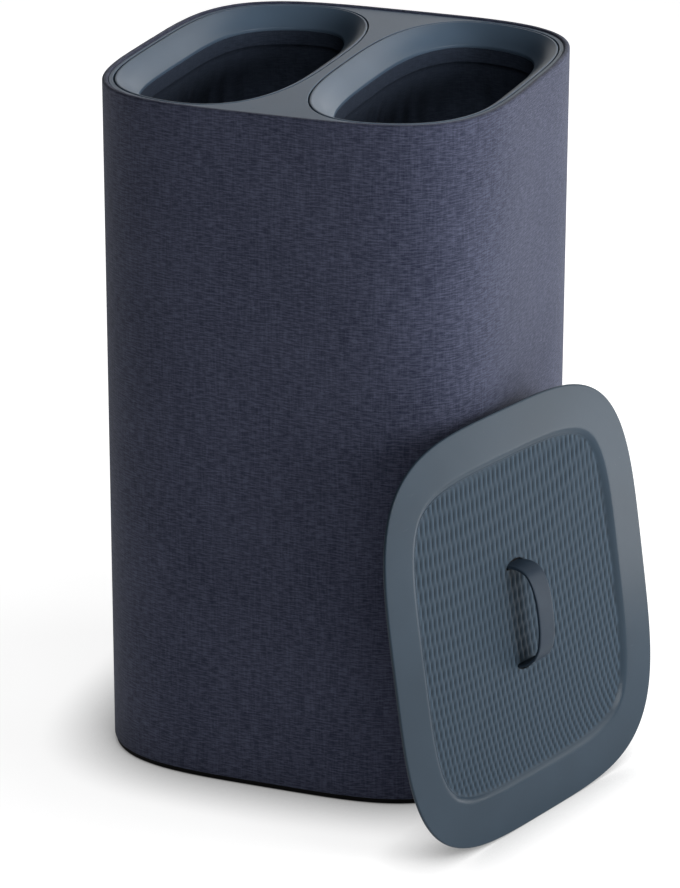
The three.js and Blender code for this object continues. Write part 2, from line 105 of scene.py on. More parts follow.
@dataclass(frozen=True)
class Outline:
    """A closed level curve, held as dense points with outward normals."""

    points: np.ndarray
    normals: np.ndarray
    middle: np.ndarray

    @classmethod
    def bowed_square(cls, form: Form, steps: int = 4800) -> "Outline":
        """The wall's outline: a square with bowed sides and very round corners.

        Args:
            form: The shared sizes.
            steps: How many dense points to hold.

        Returns:
            The outline, centred on the origin.
        """
        turn = np.arange(steps) * FULL_TURN / steps
        side = lambda value: np.sign(value) * np.abs(value) ** (2 / form.power)
        slope = lambda value: np.sign(value) * np.abs(value) ** (form.power - 1)
        unit = np.stack([side(np.cos(turn)), side(np.sin(turn))], 1)
        normals = np.stack([slope(unit[:, 0]), slope(unit[:, 1])], 1)
        normals /= np.linalg.norm(normals, axis=1)[:, None]
        return cls(unit * form.half, normals, np.zeros(2))

    @classmethod
    def opening(cls, form: Form, side: Side, steps: int = 2400) -> "Outline":
        """The D-shaped opening of a bin: the wall's outline, rounded off towards the bar.

        Args:
            form: The shared sizes.
            side: Which bin's opening to draw.
            steps: How many dense points each long side gets.

        Returns:
            The outline, centred on the middle of the opening.
        """
        start, end = form.bar / 2, form.half - form.opening_margin
        turn = np.linspace(0, math.pi, steps)
        x = start + (end - start) * (1 - np.cos(turn)) / 2
        wall = end * np.maximum(0, 1 - (x / end) ** form.power) ** (1 / form.power)
        past = np.clip((start + form.lobe_reach - x) / form.lobe_reach, 0, 1)
        depth = wall * (1 - past ** form.lobe_power) ** (1 / form.lobe_power)
        lower = np.stack([x, -depth], 1)
        points = np.concatenate([lower, np.stack([x, depth], 1)[-2:0:-1]])
        along = np.roll(points, -1, 0) - np.roll(points, 1, 0)
        along /= np.linalg.norm(along, axis=1)[:, None]
        normals = np.stack([along[:, 1], -along[:, 0]], 1)
        middle = np.array([(start + end) / 2, 0.0])
        sign = 1 if side is Side.RIGHT else -1
        return cls(points * sign, normals * sign, middle * sign)

    def polar(self, inset: float) -> tuple[np.ndarray, np.ndarray]:
        """Direction and distance from the middle of the curve moved in by an inset."""
        moved = self.points - self.normals * inset - self.middle
        return np.arctan2(moved[:, 1], moved[:, 0]), np.hypot(moved[:, 0], moved[:, 1])

    def even_rays(self, count: int, start: float) -> tuple[np.ndarray, np.ndarray]:
        """Directions that meet the outline at even steps.

        Args:
            count: How many rays to give.
            start: Direction of the first ray.

        Returns:
            The directions, and the distance along the outline at each, with the full length last.
        """
        angle, reach = self.polar(0)
        angle = (angle - start) % FULL_TURN
        order = np.argsort(angle)
        angle, reach = angle[order], reach[order]
        angle = np.concatenate([angle, [angle[0] + FULL_TURN]])
        reach = np.concatenate([reach, [reach[0]]])
        spots = np.stack([reach * np.cos(angle), reach * np.sin(angle)], 1)
        run = np.concatenate([[0], np.cumsum(np.linalg.norm(np.diff(spots, axis=0), axis=1))])
        arcs = np.linspace(0, run[-1], count + 1)
        return np.interp(arcs[:-1], run, angle) + start, arcs

    def ring(self, inset: float | np.ndarray, rays: np.ndarray) -> np.ndarray:
        """Points of the curve moved in by an inset, on rays from the middle.

        Args:
            inset: How far in, as one number or one for each ray.
            rays: Directions of the rays.

        Returns:
            One point for each ray.
        """
        base = float(np.mean(inset))
        reach = np.interp(rays, *self.polar(base), period=FULL_TURN)
        spread = np.asarray(inset) - base
        if np.any(spread):
            reach = reach + spread * (np.interp(rays, *self.polar(base + 1), period=FULL_TURN) - reach)
        return self.middle + np.stack([reach * np.cos(rays), reach * np.sin(rays)], 1)


def rounded(corners: Sequence[Triple], closed: bool, steps: int = 5) -> list[Pair]:
    """A profile whose corners are rounded, with a holding point at both ends of each arc.

    Args:
        corners: Inset, height and radius of each corner.
        closed: Whether the last corner leads back to the first.
        steps: How many segments each arc gets.

    Returns:
        Inset and height of each point.
    """
    spots = [np.array(corner[:2], float) for corner in corners]
    profile: list[Pair] = []
    for i, (spot, corner) in enumerate(zip(spots, corners)):
        ends = not closed and i in (0, len(spots) - 1)
        if ends or corner[2] <= 0:
            profile.append(tuple(spot))
            continue
        back, ahead = spots[i - 1] - spot, spots[(i + 1) % len(spots)] - spot
        long_back, long_ahead = np.linalg.norm(back), np.linalg.norm(ahead)
        back, ahead = back / long_back, ahead / long_ahead
        half = math.acos(float(np.clip(back @ ahead, -1, 1))) / 2
        run = min(corner[2] / math.tan(half), ARC_SHARE * long_back, ARC_SHARE * long_ahead)
        hold = run * HOLD_SHARE
        profile.append(tuple(spot + back * hold))
        for k in range(steps + 1):
            share = k / steps
            blend = back * run * (1 - share) ** 2 + ahead * run * share ** 2
            weight = (1 - share) ** 2 + 2 * math.sin(half) * share * (1 - share) + share ** 2
            profile.append(tuple(spot + blend / weight))
        profile.append(tuple(spot + ahead * hold))
    return profile


def deselect() -> None:
    """Leave edit mode and drop every selection, which the loaded solids otherwise keep."""
    if bpy.context.object and bpy.context.object.mode != "OBJECT":
        bpy.ops.object.mode_set(mode="OBJECT")
    bpy.ops.object.select_all(action="DESELECT")


def take_up(piece: bpy.types.Object) -> None:
    """Make a piece the only selected and active one.

    Args:
        piece: The piece to take up.
    """
    deselect()
    piece.select_set(True)
    bpy.context.view_layer.objects.active = piece


def numbers(piece: bpy.types.Object, name: str) -> np.ndarray:
    """Read a whole-number vertex attribute.

    Args:
        piece: The piece to read.
        name: Name of the attribute.

    Returns:
        One number for each vertex.
    """
    values = np.zeros(len(piece.data.vertices), np.int32)
    piece.data.attributes[name].data.foreach_get("value", values)
    return values


def store(piece: bpy.types.Object, name: str, kind: str, values: np.ndarray) -> None:
    """Write a vertex attribute, which is added where it is missing.

    Args:
        piece: The piece to write to.
        name: Name of the attribute.
        kind: Its data type.
        values: One value for each vertex.
    """
    layers = piece.data.attributes
    layer = layers.get(name) or layers.new(name, kind, "POINT")
    layer.data.foreach_set("value", values)


def places(piece: bpy.types.Object) -> np.ndarray:
    """Read the vertex places, in mm.

    Args:
        piece: The piece to read.

    Returns:
        One place for each vertex.
    """
    flat = np.zeros(len(piece.data.vertices) * 3)
    piece.data.vertices.foreach_get("co", flat)
    return flat.reshape(-1, 3) / MM


def place(piece: bpy.types.Object, spots: np.ndarray) -> None:
    """Write the vertex places, given in mm."""
    piece.data.vertices.foreach_set("co", (spots * MM).ravel())
    piece.data.update()


def select_spots(piece: bpy.types.Object, chosen: np.ndarray) -> None:
    """Select vertices by a mask, and open the piece in edit mode.

    Args:
        piece: The piece to open.
        chosen: Mask of its vertices.
    """
    take_up(piece)
    bpy.ops.object.mode_set(mode="EDIT")
    bpy.ops.mesh.select_mode(type="VERT")
    bpy.ops.mesh.select_all(action="DESELECT")
    bpy.ops.object.mode_set(mode="OBJECT")
    piece.data.vertices.foreach_set("select", chosen.astype(bool))
    bpy.ops.object.mode_set(mode="EDIT")
    bpy.ops.mesh.select_mode(type="VERT")


def close_up(piece: bpy.types.Object) -> bpy.types.Object:
    """Merge doubles, turn the faces outwards and shade smoothly.

    Args:
        piece: The drawn piece.

    Returns:
        The same piece.
    """
    select_spots(piece, np.ones(len(piece.data.vertices)))
    bpy.ops.mesh.remove_doubles(threshold=MERGE)
    bpy.ops.mesh.select_all(action="SELECT")
    bpy.ops.mesh.normals_make_consistent(inside=False)
    bpy.ops.object.mode_set(mode="OBJECT")
    bpy.ops.object.shade_smooth()
    return piece


def rename(piece: bpy.types.Object, name: str) -> bpy.types.Object:
    """Give a piece and its mesh one name."""
    piece.name = piece.data.name = name
    return piece


def draw_out(piece: bpy.types.Object, chosen: np.ndarray, times: int) -> None:
    """Extrude the edges among chosen vertices again and again, each time from the last new ones.

    Args:
        piece: The mesh to extend.
        chosen: Mask of the vertices to start from.
        times: How many rings to add.
    """
    select_spots(piece, chosen)
    bpy.ops.mesh.select_mode(type="EDGE")
    for _ in range(times):
        bpy.ops.mesh.extrude_edges_move()
    bpy.ops.object.mode_set(mode="OBJECT")


def cap(piece: bpy.types.Object, chosen: np.ndarray) -> None:
    """Close a hole with one face.

    Args:
        piece: The mesh to close.
        chosen: Mask of the vertices round the hole.
    """
    select_spots(piece, chosen)
    bpy.ops.mesh.edge_face_add()
    bpy.ops.object.mode_set(mode="OBJECT")


def dress(piece: bpy.types.Object, finish: bpy.types.Material) -> None:
    """Give a piece one material and no other.

    Args:
        piece: The piece to dress.
        finish: Its material.
    """
    piece.data.materials.clear()
    piece.data.materials.append(finish)


@dataclass(frozen=True)
class Loft:
    """A way to draw bodies of rings, all on one outline and one set of rays."""

    outline: Outline
    count: int = 240
    start: float = 0.0

    def rays(self) -> np.ndarray:
        """Directions of the rays."""
        return self.outline.even_rays(self.count, self.start)[0]

    def arcs(self) -> np.ndarray:
        """Distance along the outline at each ray, and the full length last."""
        return self.outline.even_rays(self.count, self.start)[1]

    def spots(self, profile: Sequence[tuple], lift: float) -> np.ndarray:
        """Places of all ring points, one ring for each step of the profile.

        Args:
            profile: Inset and height of each ring.
            lift: Height that is added to all rings.

        Returns:
            The places, ring after ring.
        """
        rays = self.rays()
        rings = []
        for inset, height in profile:
            level = self.outline.ring(inset, rays)
            rings.append(np.column_stack([level, np.broadcast_to(height + lift, len(rays))]))
        return np.concatenate(rings)

    def draw(self, name: str, profile: Sequence[tuple], section: Section,
             lift: float = 0.0) -> bpy.types.Object:
        """Draw a body: a circle is added, its edge is drawn out ring by ring, and the ends are closed.

        Args:
            name: The piece's name.
            profile: Inset and height of each ring, as numbers or as one value for each ray.
            section: How the ends are closed.
            lift: Height that is added to all rings.

        Returns:
            The new piece.
        """
        profile = list(profile)
        if section is Section.HOOP:
            profile.append(profile[0])
        deselect()
        bpy.ops.mesh.primitive_circle_add(vertices=self.count, radius=self.outline.points.max() * MM)
        piece = rename(bpy.context.object, name)
        store(piece, "spot", "INT", np.arange(self.count, dtype=np.int32))
        draw_out(piece, np.ones(self.count), len(profile) - 1)
        spot = numbers(piece, "spot")
        ring = np.arange(len(spot)) // self.count
        place(piece, self.spots(profile, lift)[ring * self.count + spot])
        store(piece, "ring", "INT", ring.astype(np.int32))
        if section is Section.CAPPED:
            for end in (0, len(profile) - 1):
                cap(piece, numbers(piece, "ring") == end)
        return piece

    def lay_cloth(self, piece: bpy.types.Object, profile: Sequence[tuple], closed: bool) -> None:
        """Give a drawn piece a UV map that runs along the outline and along the profile, in metres.

        Args:
            piece: A piece that was drawn and not yet merged.
            profile: The profile that it was drawn from.
            closed: Whether the profile led back to its start.
        """
        steps = np.array([[np.mean(inset), np.mean(height)] for inset, height in profile])
        if closed:
            steps = np.concatenate([steps, steps[:1]])
        rise = np.concatenate([[0], np.cumsum(np.linalg.norm(np.diff(steps, axis=0), axis=1))])
        arcs = self.arcs()
        spot, ring = numbers(piece, "spot"), numbers(piece, "ring")
        layer = piece.data.uv_layers.new(name="cloth")
        values = np.zeros((len(piece.data.loops), 2))
        flat = places(piece)[:, :2]
        for face in piece.data.polygons:
            corners = [piece.data.loops[k].vertex_index for k in face.loop_indices]
            wraps = max(spot[c] for c in corners) - min(spot[c] for c in corners) > self.count / 2
            for k, c in zip(face.loop_indices, corners):
                along = self.count if wraps and spot[c] == 0 else spot[c]
                values[k] = flat[c] if len(corners) > 4 else (arcs[along], rise[ring[c]])
        layer.data.foreach_set("uv", (values * MM).ravel())


# ---------------------------------------------------------------- shader expressions


class Value:
    """One shader socket. The usual operators on it add Math nodes."""

    def __init__(self, tree: bpy.types.NodeTree, socket: bpy.types.NodeSocket) -> None:
        """Hold a socket of a node tree."""
        self.tree = tree
        self.socket = socket

    def math(self, operation: str, *others: "Value | float") -> "Value":
        """Add a Math node of this operation on this value and the others.

        Args:
            operation: The node's operation.
            others: Values or numbers after this one.

        Returns:
            The result.
        """
        node = self.tree.nodes.new("ShaderNodeMath")
        node.operation = operation
        for slot, item in zip(node.inputs, (self, *others)):
            if isinstance(item, Value):
                self.tree.links.new(item.socket, slot)
            else:
                slot.default_value = item
        return Value(self.tree, node.outputs[0])

    def __add__(self, other: "Value | float") -> "Value":
        """Sum."""
        return self.math("ADD", other)

    __radd__ = __add__

    def __sub__(self, other: "Value | float") -> "Value":
        """Difference."""
        return self.math("SUBTRACT", other)

    def __rsub__(self, other: float) -> "Value":
        """Difference from a number.

        Args:
            other: The number.

        Returns:
            The number less this value.
        """
        node = self.tree.nodes.new("ShaderNodeMath")
        node.operation = "SUBTRACT"
        node.inputs[0].default_value = other
        self.tree.links.new(self.socket, node.inputs[1])
        return Value(self.tree, node.outputs[0])

    def __mul__(self, other: "Value | float") -> "Value":
        """Product."""
        return self.math("MULTIPLY", other)

    __rmul__ = __mul__

    def __pow__(self, other: "Value | float") -> "Value":
        """Power."""
        return self.math("POWER", other)

    def eased(self, low: float, high: float) -> "Value":
        """Ease from 0 at low to 1 at high.

        Args:
            low: Where the result is 0.
            high: Where the result is 1.

        Returns:
            The eased value.
        """
        node = self.tree.nodes.new("ShaderNodeMapRange")
        node.interpolation_type = "SMOOTHSTEP"
        node.inputs["From Min"].default_value = low
        node.inputs["From Max"].default_value = high
        self.tree.links.new(self.socket, node.inputs["Value"])
        return Value(self.tree, node.outputs["Result"])


class Shader:
    """The node tree of one material."""

    def __init__(self, name: str) -> None:
        """Start a material with an empty surface shader.

        Args:
            name: The material's name.
        """
        self.material = bpy.data.materials.new(name)
        self.material.use_nodes = True
        self.tree = self.material.node_tree
        self.surface = self.tree.nodes["Principled BSDF"]

    def node(self, kind: str, settings: dict | None = None, inputs: dict | None = None,
             output: str | int = 0) -> Value:
        """Add a node: its settings are made first, and then its sockets get values or links.

        Args:
            kind: The node's type, without the common prefix.
            settings: Attributes of the node.
            inputs: Values or links for its sockets, by name or number.
            output: Which output to give back.

        Returns:
            The chosen output.
        """
        node = self.tree.nodes.new("ShaderNode" + kind)
        for key, value in (settings or {}).items():
            setattr(node, key, value)
        for key, value in (inputs or {}).items():
            if isinstance(value, Value):
                self.tree.links.new(value.socket, node.inputs[key])
            else:
                node.inputs[key].default_value = value
        return Value(self.tree, node.outputs[output])

    def object_place(self) -> Value:
        """Object coordinates, in metres."""
        return self.node("TexCoord", output="Object")

    def cloth_place(self) -> Value:
        """The cloth's own UV map, in metres."""
        return self.node("UVMap", {"uv_map": "cloth"})

    def stretched(self, place_value: Value, scale: Triple) -> Value:
        """A place multiplied axis by axis."""
        return self.node("VectorMath", {"operation": "MULTIPLY"}, {0: place_value, 1: scale})

    def axis(self, place_value: Value, letter: str) -> Value:
        """One axis of a place."""
        return self.node("SeparateXYZ", inputs={0: place_value}, output=letter)

    def noise(self, place_value: Value, scale: float, detail: float = 2.0, rough: float = 0.5) -> Value:
        """Noise from 0 to 1."""
        return self.node("TexNoise", inputs={"Vector": place_value, "Scale": scale, "Detail": detail,
                                             "Roughness": rough})

    def blend(self, factor: Value | float, first: Value | Colour, second: Value | Colour) -> Value:
        """Mix two colours.

        Args:
            factor: Share of the second colour.
            first: The first colour.
            second: The second colour.

        Returns:
            The mixed colour.
        """
        whole = lambda colour: colour if isinstance(colour, Value) else (*colour, 1.0)
        inputs = {0: factor, 6: whole(first), 7: whole(second)}
        return self.node("Mix", {"data_type": "RGBA"}, inputs, output=2)

    def bump(self, height: Value, depth: float) -> Value:
        """A bumped normal from a height of 0 to 1, whose depth is given in mm."""
        return self.node("Bump", inputs={"Height": height, "Distance": depth * MM})

    def finish(self, colour: Value, rough: Value | float, normal: Value | None, specular: float,
               sheen: float = 0.0) -> bpy.types.Material:
        """Join the parts of a finish to the surface shader.

        Args:
            colour: Base colour.
            rough: Roughness.
            normal: Bumped normal, if there is one.
            specular: Plain specular level.
            sheen: Plain sheen weight.

        Returns:
            The material.
        """
        self.tree.links.new(colour.socket, self.surface.inputs["Base Color"])
        if isinstance(rough, Value):
            self.tree.links.new(rough.socket, self.surface.inputs["Roughness"])
        else:
            self.surface.inputs["Roughness"].default_value = rough
        if normal:
            self.tree.links.new(normal.socket, self.surface.inputs["Normal"])
        self.surface.inputs["Specular IOR Level"].default_value = specular
        self.surface.inputs["Sheen Weight"].default_value = sheen
        self.surface.inputs["Sheen Tint"].default_value = SHEEN_TINT
        return self.material


def tint(red: int, green: int, blue: int) -> Colour:
    """A display colour of 0 to 255 as linear light, by the usual display curve."""
    return tuple(((c / 255 + 0.055) / 1.055) ** 2.4 if c > 10 else c / 255 / 12.92
                 for c in (red, green, blue))


def scaled(tone: Colour, share: float) -> Colour:
    """A colour made darker or lighter, and held at white."""
    return tuple(min(1, c * share) for c in tone)


@dataclass(frozen=True)
class Streaks:
    """Noise stretched into streaks and cut to a mask that begins at low and is full at high."""

    scale: Triple
    detail: float
    rough: float
    low: float
    high: float

    def mask(self, shader: Shader, spot: Value) -> Value:
        """The mask, from 0 to 1."""
        streaks = shader.noise(shader.stretched(spot, self.scale), 1, self.detail, self.rough)
        return streaks.eased(self.low, self.high)


@dataclass(frozen=True)
class Linen:
    """Linen-like cloth: two sets of uneven threads, with lighter slubs along the weft.

    Where the cloth goes round a wall, around is its length there, in mm, and its ends meet in a
    stitched seam. The fields that end in light are shares of the slub's colour, and the gap field is a
    share of the dark colour, painted as shade between the threads where the weave lies low.
    """

    name: str
    ground: Colour
    slub: Colour
    dark: Colour
    pitch: float = 0.9
    depth: float = 0.16
    sheen: float = 0.0
    around: float = 0.0
    specular: float = 0.12
    wander: float = 1.1
    wander_scale: float = 34
    weft: Streaks = Streaks((100, 760, 1), 3, 0.7, 0.38, 0.66)
    warp: Streaks = Streaks((520, 44, 1), 3, 0.66, 0.4, 0.66)
    knots: Streaks = Streaks((170, 900, 1), 1, 0.4, 0.66, 0.74)
    fibres: Triple = (300, 1500, 1)
    patch_scale: float = 14
    weft_light: float = 0.58
    warp_light: float = 0.21
    fibre_light: float = 0.16
    patch_light: float = 0.08
    knot_light: float = 0.4
    gap_shade: float = 0.36
    seam_half: float = 1.1
    stitch_offset: float = 2.8
    stitch_pitch: float = 3.6
    stitch_half: float = 0.55
    stitch_soft: float = 0.2

    def material(self) -> bpy.types.Material:
        """Make the material on the cloth's UV map.

        Returns:
            The material.
        """
        shader = Shader(self.name)
        uv = shader.cloth_place()
        wander = shader.noise(uv, self.wander_scale, 2) * (self.wander * MM)
        along, up = shader.axis(uv, "X"), shader.axis(uv, "Y")
        straight = shader.node("CombineXYZ", inputs={0: along + wander, 1: up + wander})
        turn = math.pi / (self.pitch * MM)
        warp, weft = (along * turn).math("SINE"), (up * turn).math("SINE")
        over = (warp * weft).eased(-0.25, 0.25)
        weave = warp.math("ABSOLUTE") * over + weft.math("ABSOLUTE") * (1 - over)

        weft_runs = self.weft.mask(shader, straight)
        warp_runs = self.warp.mask(shader, straight)
        fine = shader.noise(shader.stretched(uv, self.fibres), 1, 2, 0.6)
        knots = self.knots.mask(shader, straight)
        patches = shader.noise(uv, self.patch_scale, 2).eased(0.3, 0.7)
        threads = weft_runs * self.weft_light + warp_runs * self.warp_light
        light = threads + fine * self.fibre_light + patches * self.patch_light - self.patch_light
        colour = shader.blend(light, self.ground, self.slub)
        colour = shader.blend(knots * self.knot_light, colour, self.slub)
        # Painted shade between the threads: where the weave lies low, the colour goes towards the dark
        # colour.
        gaps = (1 - weave.eased(0.1, 0.55)) * self.gap_shade
        colour = shader.blend(gaps, colour, self.dark)
        height = weave * 0.55 + weft_runs * 0.3 + warp_runs * 0.2
        if self.around:
            half = self.around / 2 * MM
            from_seam = half - (along - half).math("ABSOLUTE")
            fold = 1 - from_seam.eased(self.stitch_soft * MM, self.seam_half * MM)
            off_row = (from_seam - self.stitch_offset * MM).math("ABSOLUTE")
            row = 1 - off_row.eased(self.stitch_soft * MM, self.stitch_half * MM)
            stitches = row * (up * (FULL_TURN / (self.stitch_pitch * MM))).math("SINE").eased(-0.4, 0.1)
            colour = shader.blend(fold * 0.7, colour, self.dark)
            colour = shader.blend(stitches * 0.55, colour, self.slub)
            height = height - fold * 1.4 + stitches * 0.7
        rough = 0.82 + fine * 0.14
        return shader.finish(colour, rough, shader.bump(height, self.depth), self.specular, self.sheen)


@dataclass(frozen=True)
class Moulded:
    """Moulded plastic: a fine satin grain, slow changes of tone and faint rubs.

    Where textured is above 0, the part that the attribute "textured" marks has that roughness, and its
    tone follows the relief's height in a vertex attribute: painted shade darkens the hollows and a
    painted highlight lightens the crests.
    """

    name: str
    tone: Colour
    rough: float = 0.4
    specular: float = 0.2
    grain: float = 0.02
    contrast: float = 0.1
    textured: float = 0.0
    shaded_hollow_tone: float = 0.45
    lit_crest_tone: float = 1.7
    rubs: Streaks = Streaks((60, 60, 300), 4, 0.7, 0.62, 0.8)

    def material(self) -> bpy.types.Material:
        """Make the material on object coordinates.

        Returns:
            The material.
        """
        shader = Shader(self.name)
        spot = shader.object_place()
        grain = shader.noise(spot, 1800, 3, 0.6)
        cloud = shader.noise(spot, 9, 3, 0.5)
        rubs = self.rubs.mask(shader, spot)
        deep, pale = scaled(self.tone, 1 - self.contrast), scaled(self.tone, 1 + self.contrast)
        colour = shader.blend(cloud.eased(0.3, 0.7), deep, pale)
        colour = shader.blend(grain.eased(0.35, 0.65) * 0.3, colour, self.tone)
        rough = self.rough - 0.04 + grain * 0.1 + rubs * 0.05
        if self.textured:
            marked = shader.node("Attribute", {"attribute_name": "textured"}, output="Fac")
            rough = rough + marked * (self.textured - self.rough)
            # Painted shade and painted highlight: the relief's height darkens its hollows and lightens
            # its crests.
            relief_shade_height = shader.node("Attribute", {"attribute_name": "relief_shade_height"}, output="Fac")
            shaded_hollow, top = scaled(self.tone, self.shaded_hollow_tone), scaled(self.tone, self.lit_crest_tone)
            colour = shader.blend(marked, colour, shader.blend(relief_shade_height, shaded_hollow, top))
        return shader.finish(colour, rough, shader.bump(grain, self.grain), self.specular)


@dataclass(frozen=True)
class Board:
    """Pressed grey board: short fibres in all directions and a few dark flecks."""

    name: str
    tone: Colour
    fleck: Colour

    def material(self) -> bpy.types.Material:
        """Make the material on object coordinates.

        Returns:
            The material.
        """
        shader = Shader(self.name)
        spot = shader.object_place()
        fibres = shader.noise(shader.stretched(spot, (240, 240, 900)), 1, 4, 0.7)
        across = shader.noise(shader.stretched(spot, (900, 900, 200)), 1, 4, 0.7)
        flecks = shader.noise(spot, 420, 1, 0.4).eased(0.68, 0.76)
        mixed = (fibres * 0.5 + across * 0.5).eased(0.35, 0.65)
        colour = shader.blend(mixed, self.tone, scaled(self.tone, 1.25))
        colour = shader.blend(flecks * 0.6, colour, self.fleck)
        return shader.finish(colour, 0.85 + fibres * 0.1, shader.bump(fibres, 0.08), 0.2)


@dataclass(frozen=True)
class Rubber:
    """Soft rubber: matt, with a faint bloom."""

    name: str
    tone: Colour
    bloom: Colour
    rough: float = 0.7
    specular: float = 0.35

    def material(self) -> bpy.types.Material:
        """Make the material on object coordinates.

        Returns:
            The material.
        """
        shader = Shader(self.name)
        spot = shader.object_place()
        skin = shader.noise(spot, 900, 3, 0.6)
        patches = shader.noise(spot, 60, 3, 0.6).eased(0.35, 0.75)
        colour = shader.blend(patches * 0.5 + skin * 0.2, self.tone, self.bloom)
        rough = self.rough - 0.06 + skin * 0.12
        return shader.finish(colour, rough, shader.bump(skin, 0.02), self.specular)


@dataclass(frozen=True)
class Finishes:
    """All finishes of the hamper, made once."""

    cover: bpy.types.Material
    slate: bpy.types.Material
    ring: bpy.types.Material
    lid: bpy.types.Material
    black: bpy.types.Material
    liner: bpy.types.Material
    board: bpy.types.Material
    rubber: bpy.types.Material
    strap: bpy.types.Material

    @classmethod
    def make(cls, form: Form) -> "Finishes":
        """Make every material.

        Args:
            form: The shared sizes, for the length of the cover.

        Returns:
            The finishes.
        """
        around = Loft(Outline.bowed_square(form)).arcs()[-1]
        return cls(
            cover=Linen("blue_linen", tint(27, 31, 49), tint(74, 78, 97), tint(13, 15, 28), sheen=0.15,
                        around=around).material(),
            slate=Moulded("slate_moulding", tint(64, 83, 103), rough=0.38).material(),
            ring=Moulded("ring_moulding", tint(71, 87, 104)).material(),
            lid=Moulded("lid_moulding", tint(42, 53, 63), rough=0.24, specular=0.08,
                        textured=0.6).material(),
            black=Moulded("black_moulding", tint(6, 6, 7), rough=0.7, specular=0.1).material(),
            liner=Linen("liner_cloth", tint(36, 44, 57), tint(54, 62, 77), tint(19, 23, 31), pitch=0.7,
                        depth=0.1).material(),
            board=Board("grey_board", tint(128, 118, 104), tint(60, 54, 48)).material(),
            rubber=Rubber("pad_rubber", tint(22, 22, 24), tint(44, 44, 48)).material(),
            strap=Rubber("strap_band", tint(31, 41, 52), tint(36, 47, 58), rough=0.5,
                         specular=0.13).material(),
        )


def settle(piece: bpy.types.Object, finish: bpy.types.Material, body: str, slot: str,
           *nodes: str) -> None:
    """Dress a piece, tie it to its body and let it stand for its solids.

    Args:
        piece: The finished piece.
        finish: Its material.
        body: The body that it rides on.
        slot: The record's material slot; not used.
        nodes: The solids that it replaces.
    """
    dress(piece, finish)
    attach(piece, body)
    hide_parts(*nodes)
    LOG.info("%s: %d faces on %s", piece.name, len(piece.data.polygons), body)


# ---------------------------------------------------------------- body of the hamper


@dataclass
class Base:
    """The moulded base tray and the rubber pads let into it."""

    form: Form
    plinth_inset: float = 1.5
    plinth_height: float = 5.0
    pad_proud: float = 0.5
    floor: float = 4.5
    upstand: float = 24.0
    upstand_wall: float = 2.4
    upstand_inset: float = 4.2
    face_margin: float = 3.0
    cloth: float = 1.0

    def build(self, finishes: Finishes) -> None:
        """Build the tray, and dress the pads that are carried over.

        Args:
            finishes: The hamper's finishes.
        """
        top = self.pad_proud + self.floor
        inner = self.upstand_inset + self.upstand_wall
        profile = rounded([
            (inner + 3 * self.upstand_wall, top, 0),
            (inner, top, self.upstand_wall),
            (inner, self.plinth_height + self.upstand, 0.8),
            (self.upstand_inset, self.plinth_height + self.upstand, 0.8),
            (self.upstand_inset, self.plinth_height, 0.3),
            (self.cloth, self.plinth_height, 0.4),
            (self.plinth_inset, self.plinth_height - self.plinth_inset + self.cloth, 0.6),
            (self.plinth_inset, self.pad_proud, 0.6),
            (self.plinth_inset + self.face_margin, self.pad_proud, 0),
        ], False)
        tray = Loft(Outline.bowed_square(self.form)).draw("base_moulding", profile, Section.CAPPED)
        settle(close_up(tray), finishes.black, "hamper", "black_plastic", "base_tray")
        for name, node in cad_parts.items():
            if name.startswith("foot_pad"):
                dress(node, finishes.rubber)


@dataclass
class Wall:
    """The stiff board and the cloth that wraps it and turns in over the top edge."""

    form: Form
    board: float = 2.6
    cloth: float = 1.0
    gap: float = 0.3
    bottom: float = 5.3
    turn_in: float = 22.0
    edge_round: float = 1.9
    rays: int = 320
    ripples: tuple[Pair, ...] = ((0.05, 61), (0.06, 23))
    ripple_reach: float = 3.0

    def build_cover(self, finishes: Finishes) -> None:
        """Build the cloth with its soft upper edge and its seam at the back.

        Args:
            finishes: The hamper's finishes.
        """
        top = self.form.height
        inner = self.cloth + self.gap + self.board + self.gap + self.cloth
        loft = Loft(Outline.bowed_square(self.form), self.rays, math.pi / 2)
        profile = rounded([
            (0, self.bottom, 0.3),
            (0, top, self.edge_round),
            (inner, top, self.edge_round),
            (inner, top - self.turn_in, 0.3),
            (inner - self.cloth, top - self.turn_in, 0.3),
            (inner - self.cloth, top - self.cloth, 0.8),
            (self.cloth, top - self.cloth, 0.8),
            (self.cloth, self.bottom, 0.3),
        ], True, 6)
        arcs = loft.arcs()[:-1]
        length = loft.arcs()[-1]
        ripple = sum(depth * np.sin(arcs * FULL_TURN * waves / length) for depth, waves in self.ripples)
        profile = [(inset + ripple * smooth(height, top - self.ripple_reach, top), height)
                   for inset, height in profile]
        cover = loft.draw("cloth_cover", profile, Section.HOOP)
        loft.lay_cloth(cover, profile, True)
        settle(close_up(cover), finishes.cover, "hamper", "fabric", "fabric_cover")

    def build_board(self, finishes: Finishes) -> None:
        """Build the rolled board, and dress the strip behind its joint.

        Args:
            finishes: The hamper's finishes.
        """
        outer = self.cloth + self.gap
        top = self.form.height - self.cloth - self.gap
        profile = rounded([
            (outer, self.bottom, 0.3), (outer, top, 0.3), (outer + self.board, top, 0.3),
            (outer + self.board, self.bottom, 0.3),
        ], True, 2)
        loft = Loft(Outline.bowed_square(self.form), self.rays)
        board = loft.draw("wall_sheet", profile, Section.HOOP)
        settle(close_up(board), finishes.board, "hamper", "board", "wall_board")
        dress(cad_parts["wall_seam_strip"], finishes.board)


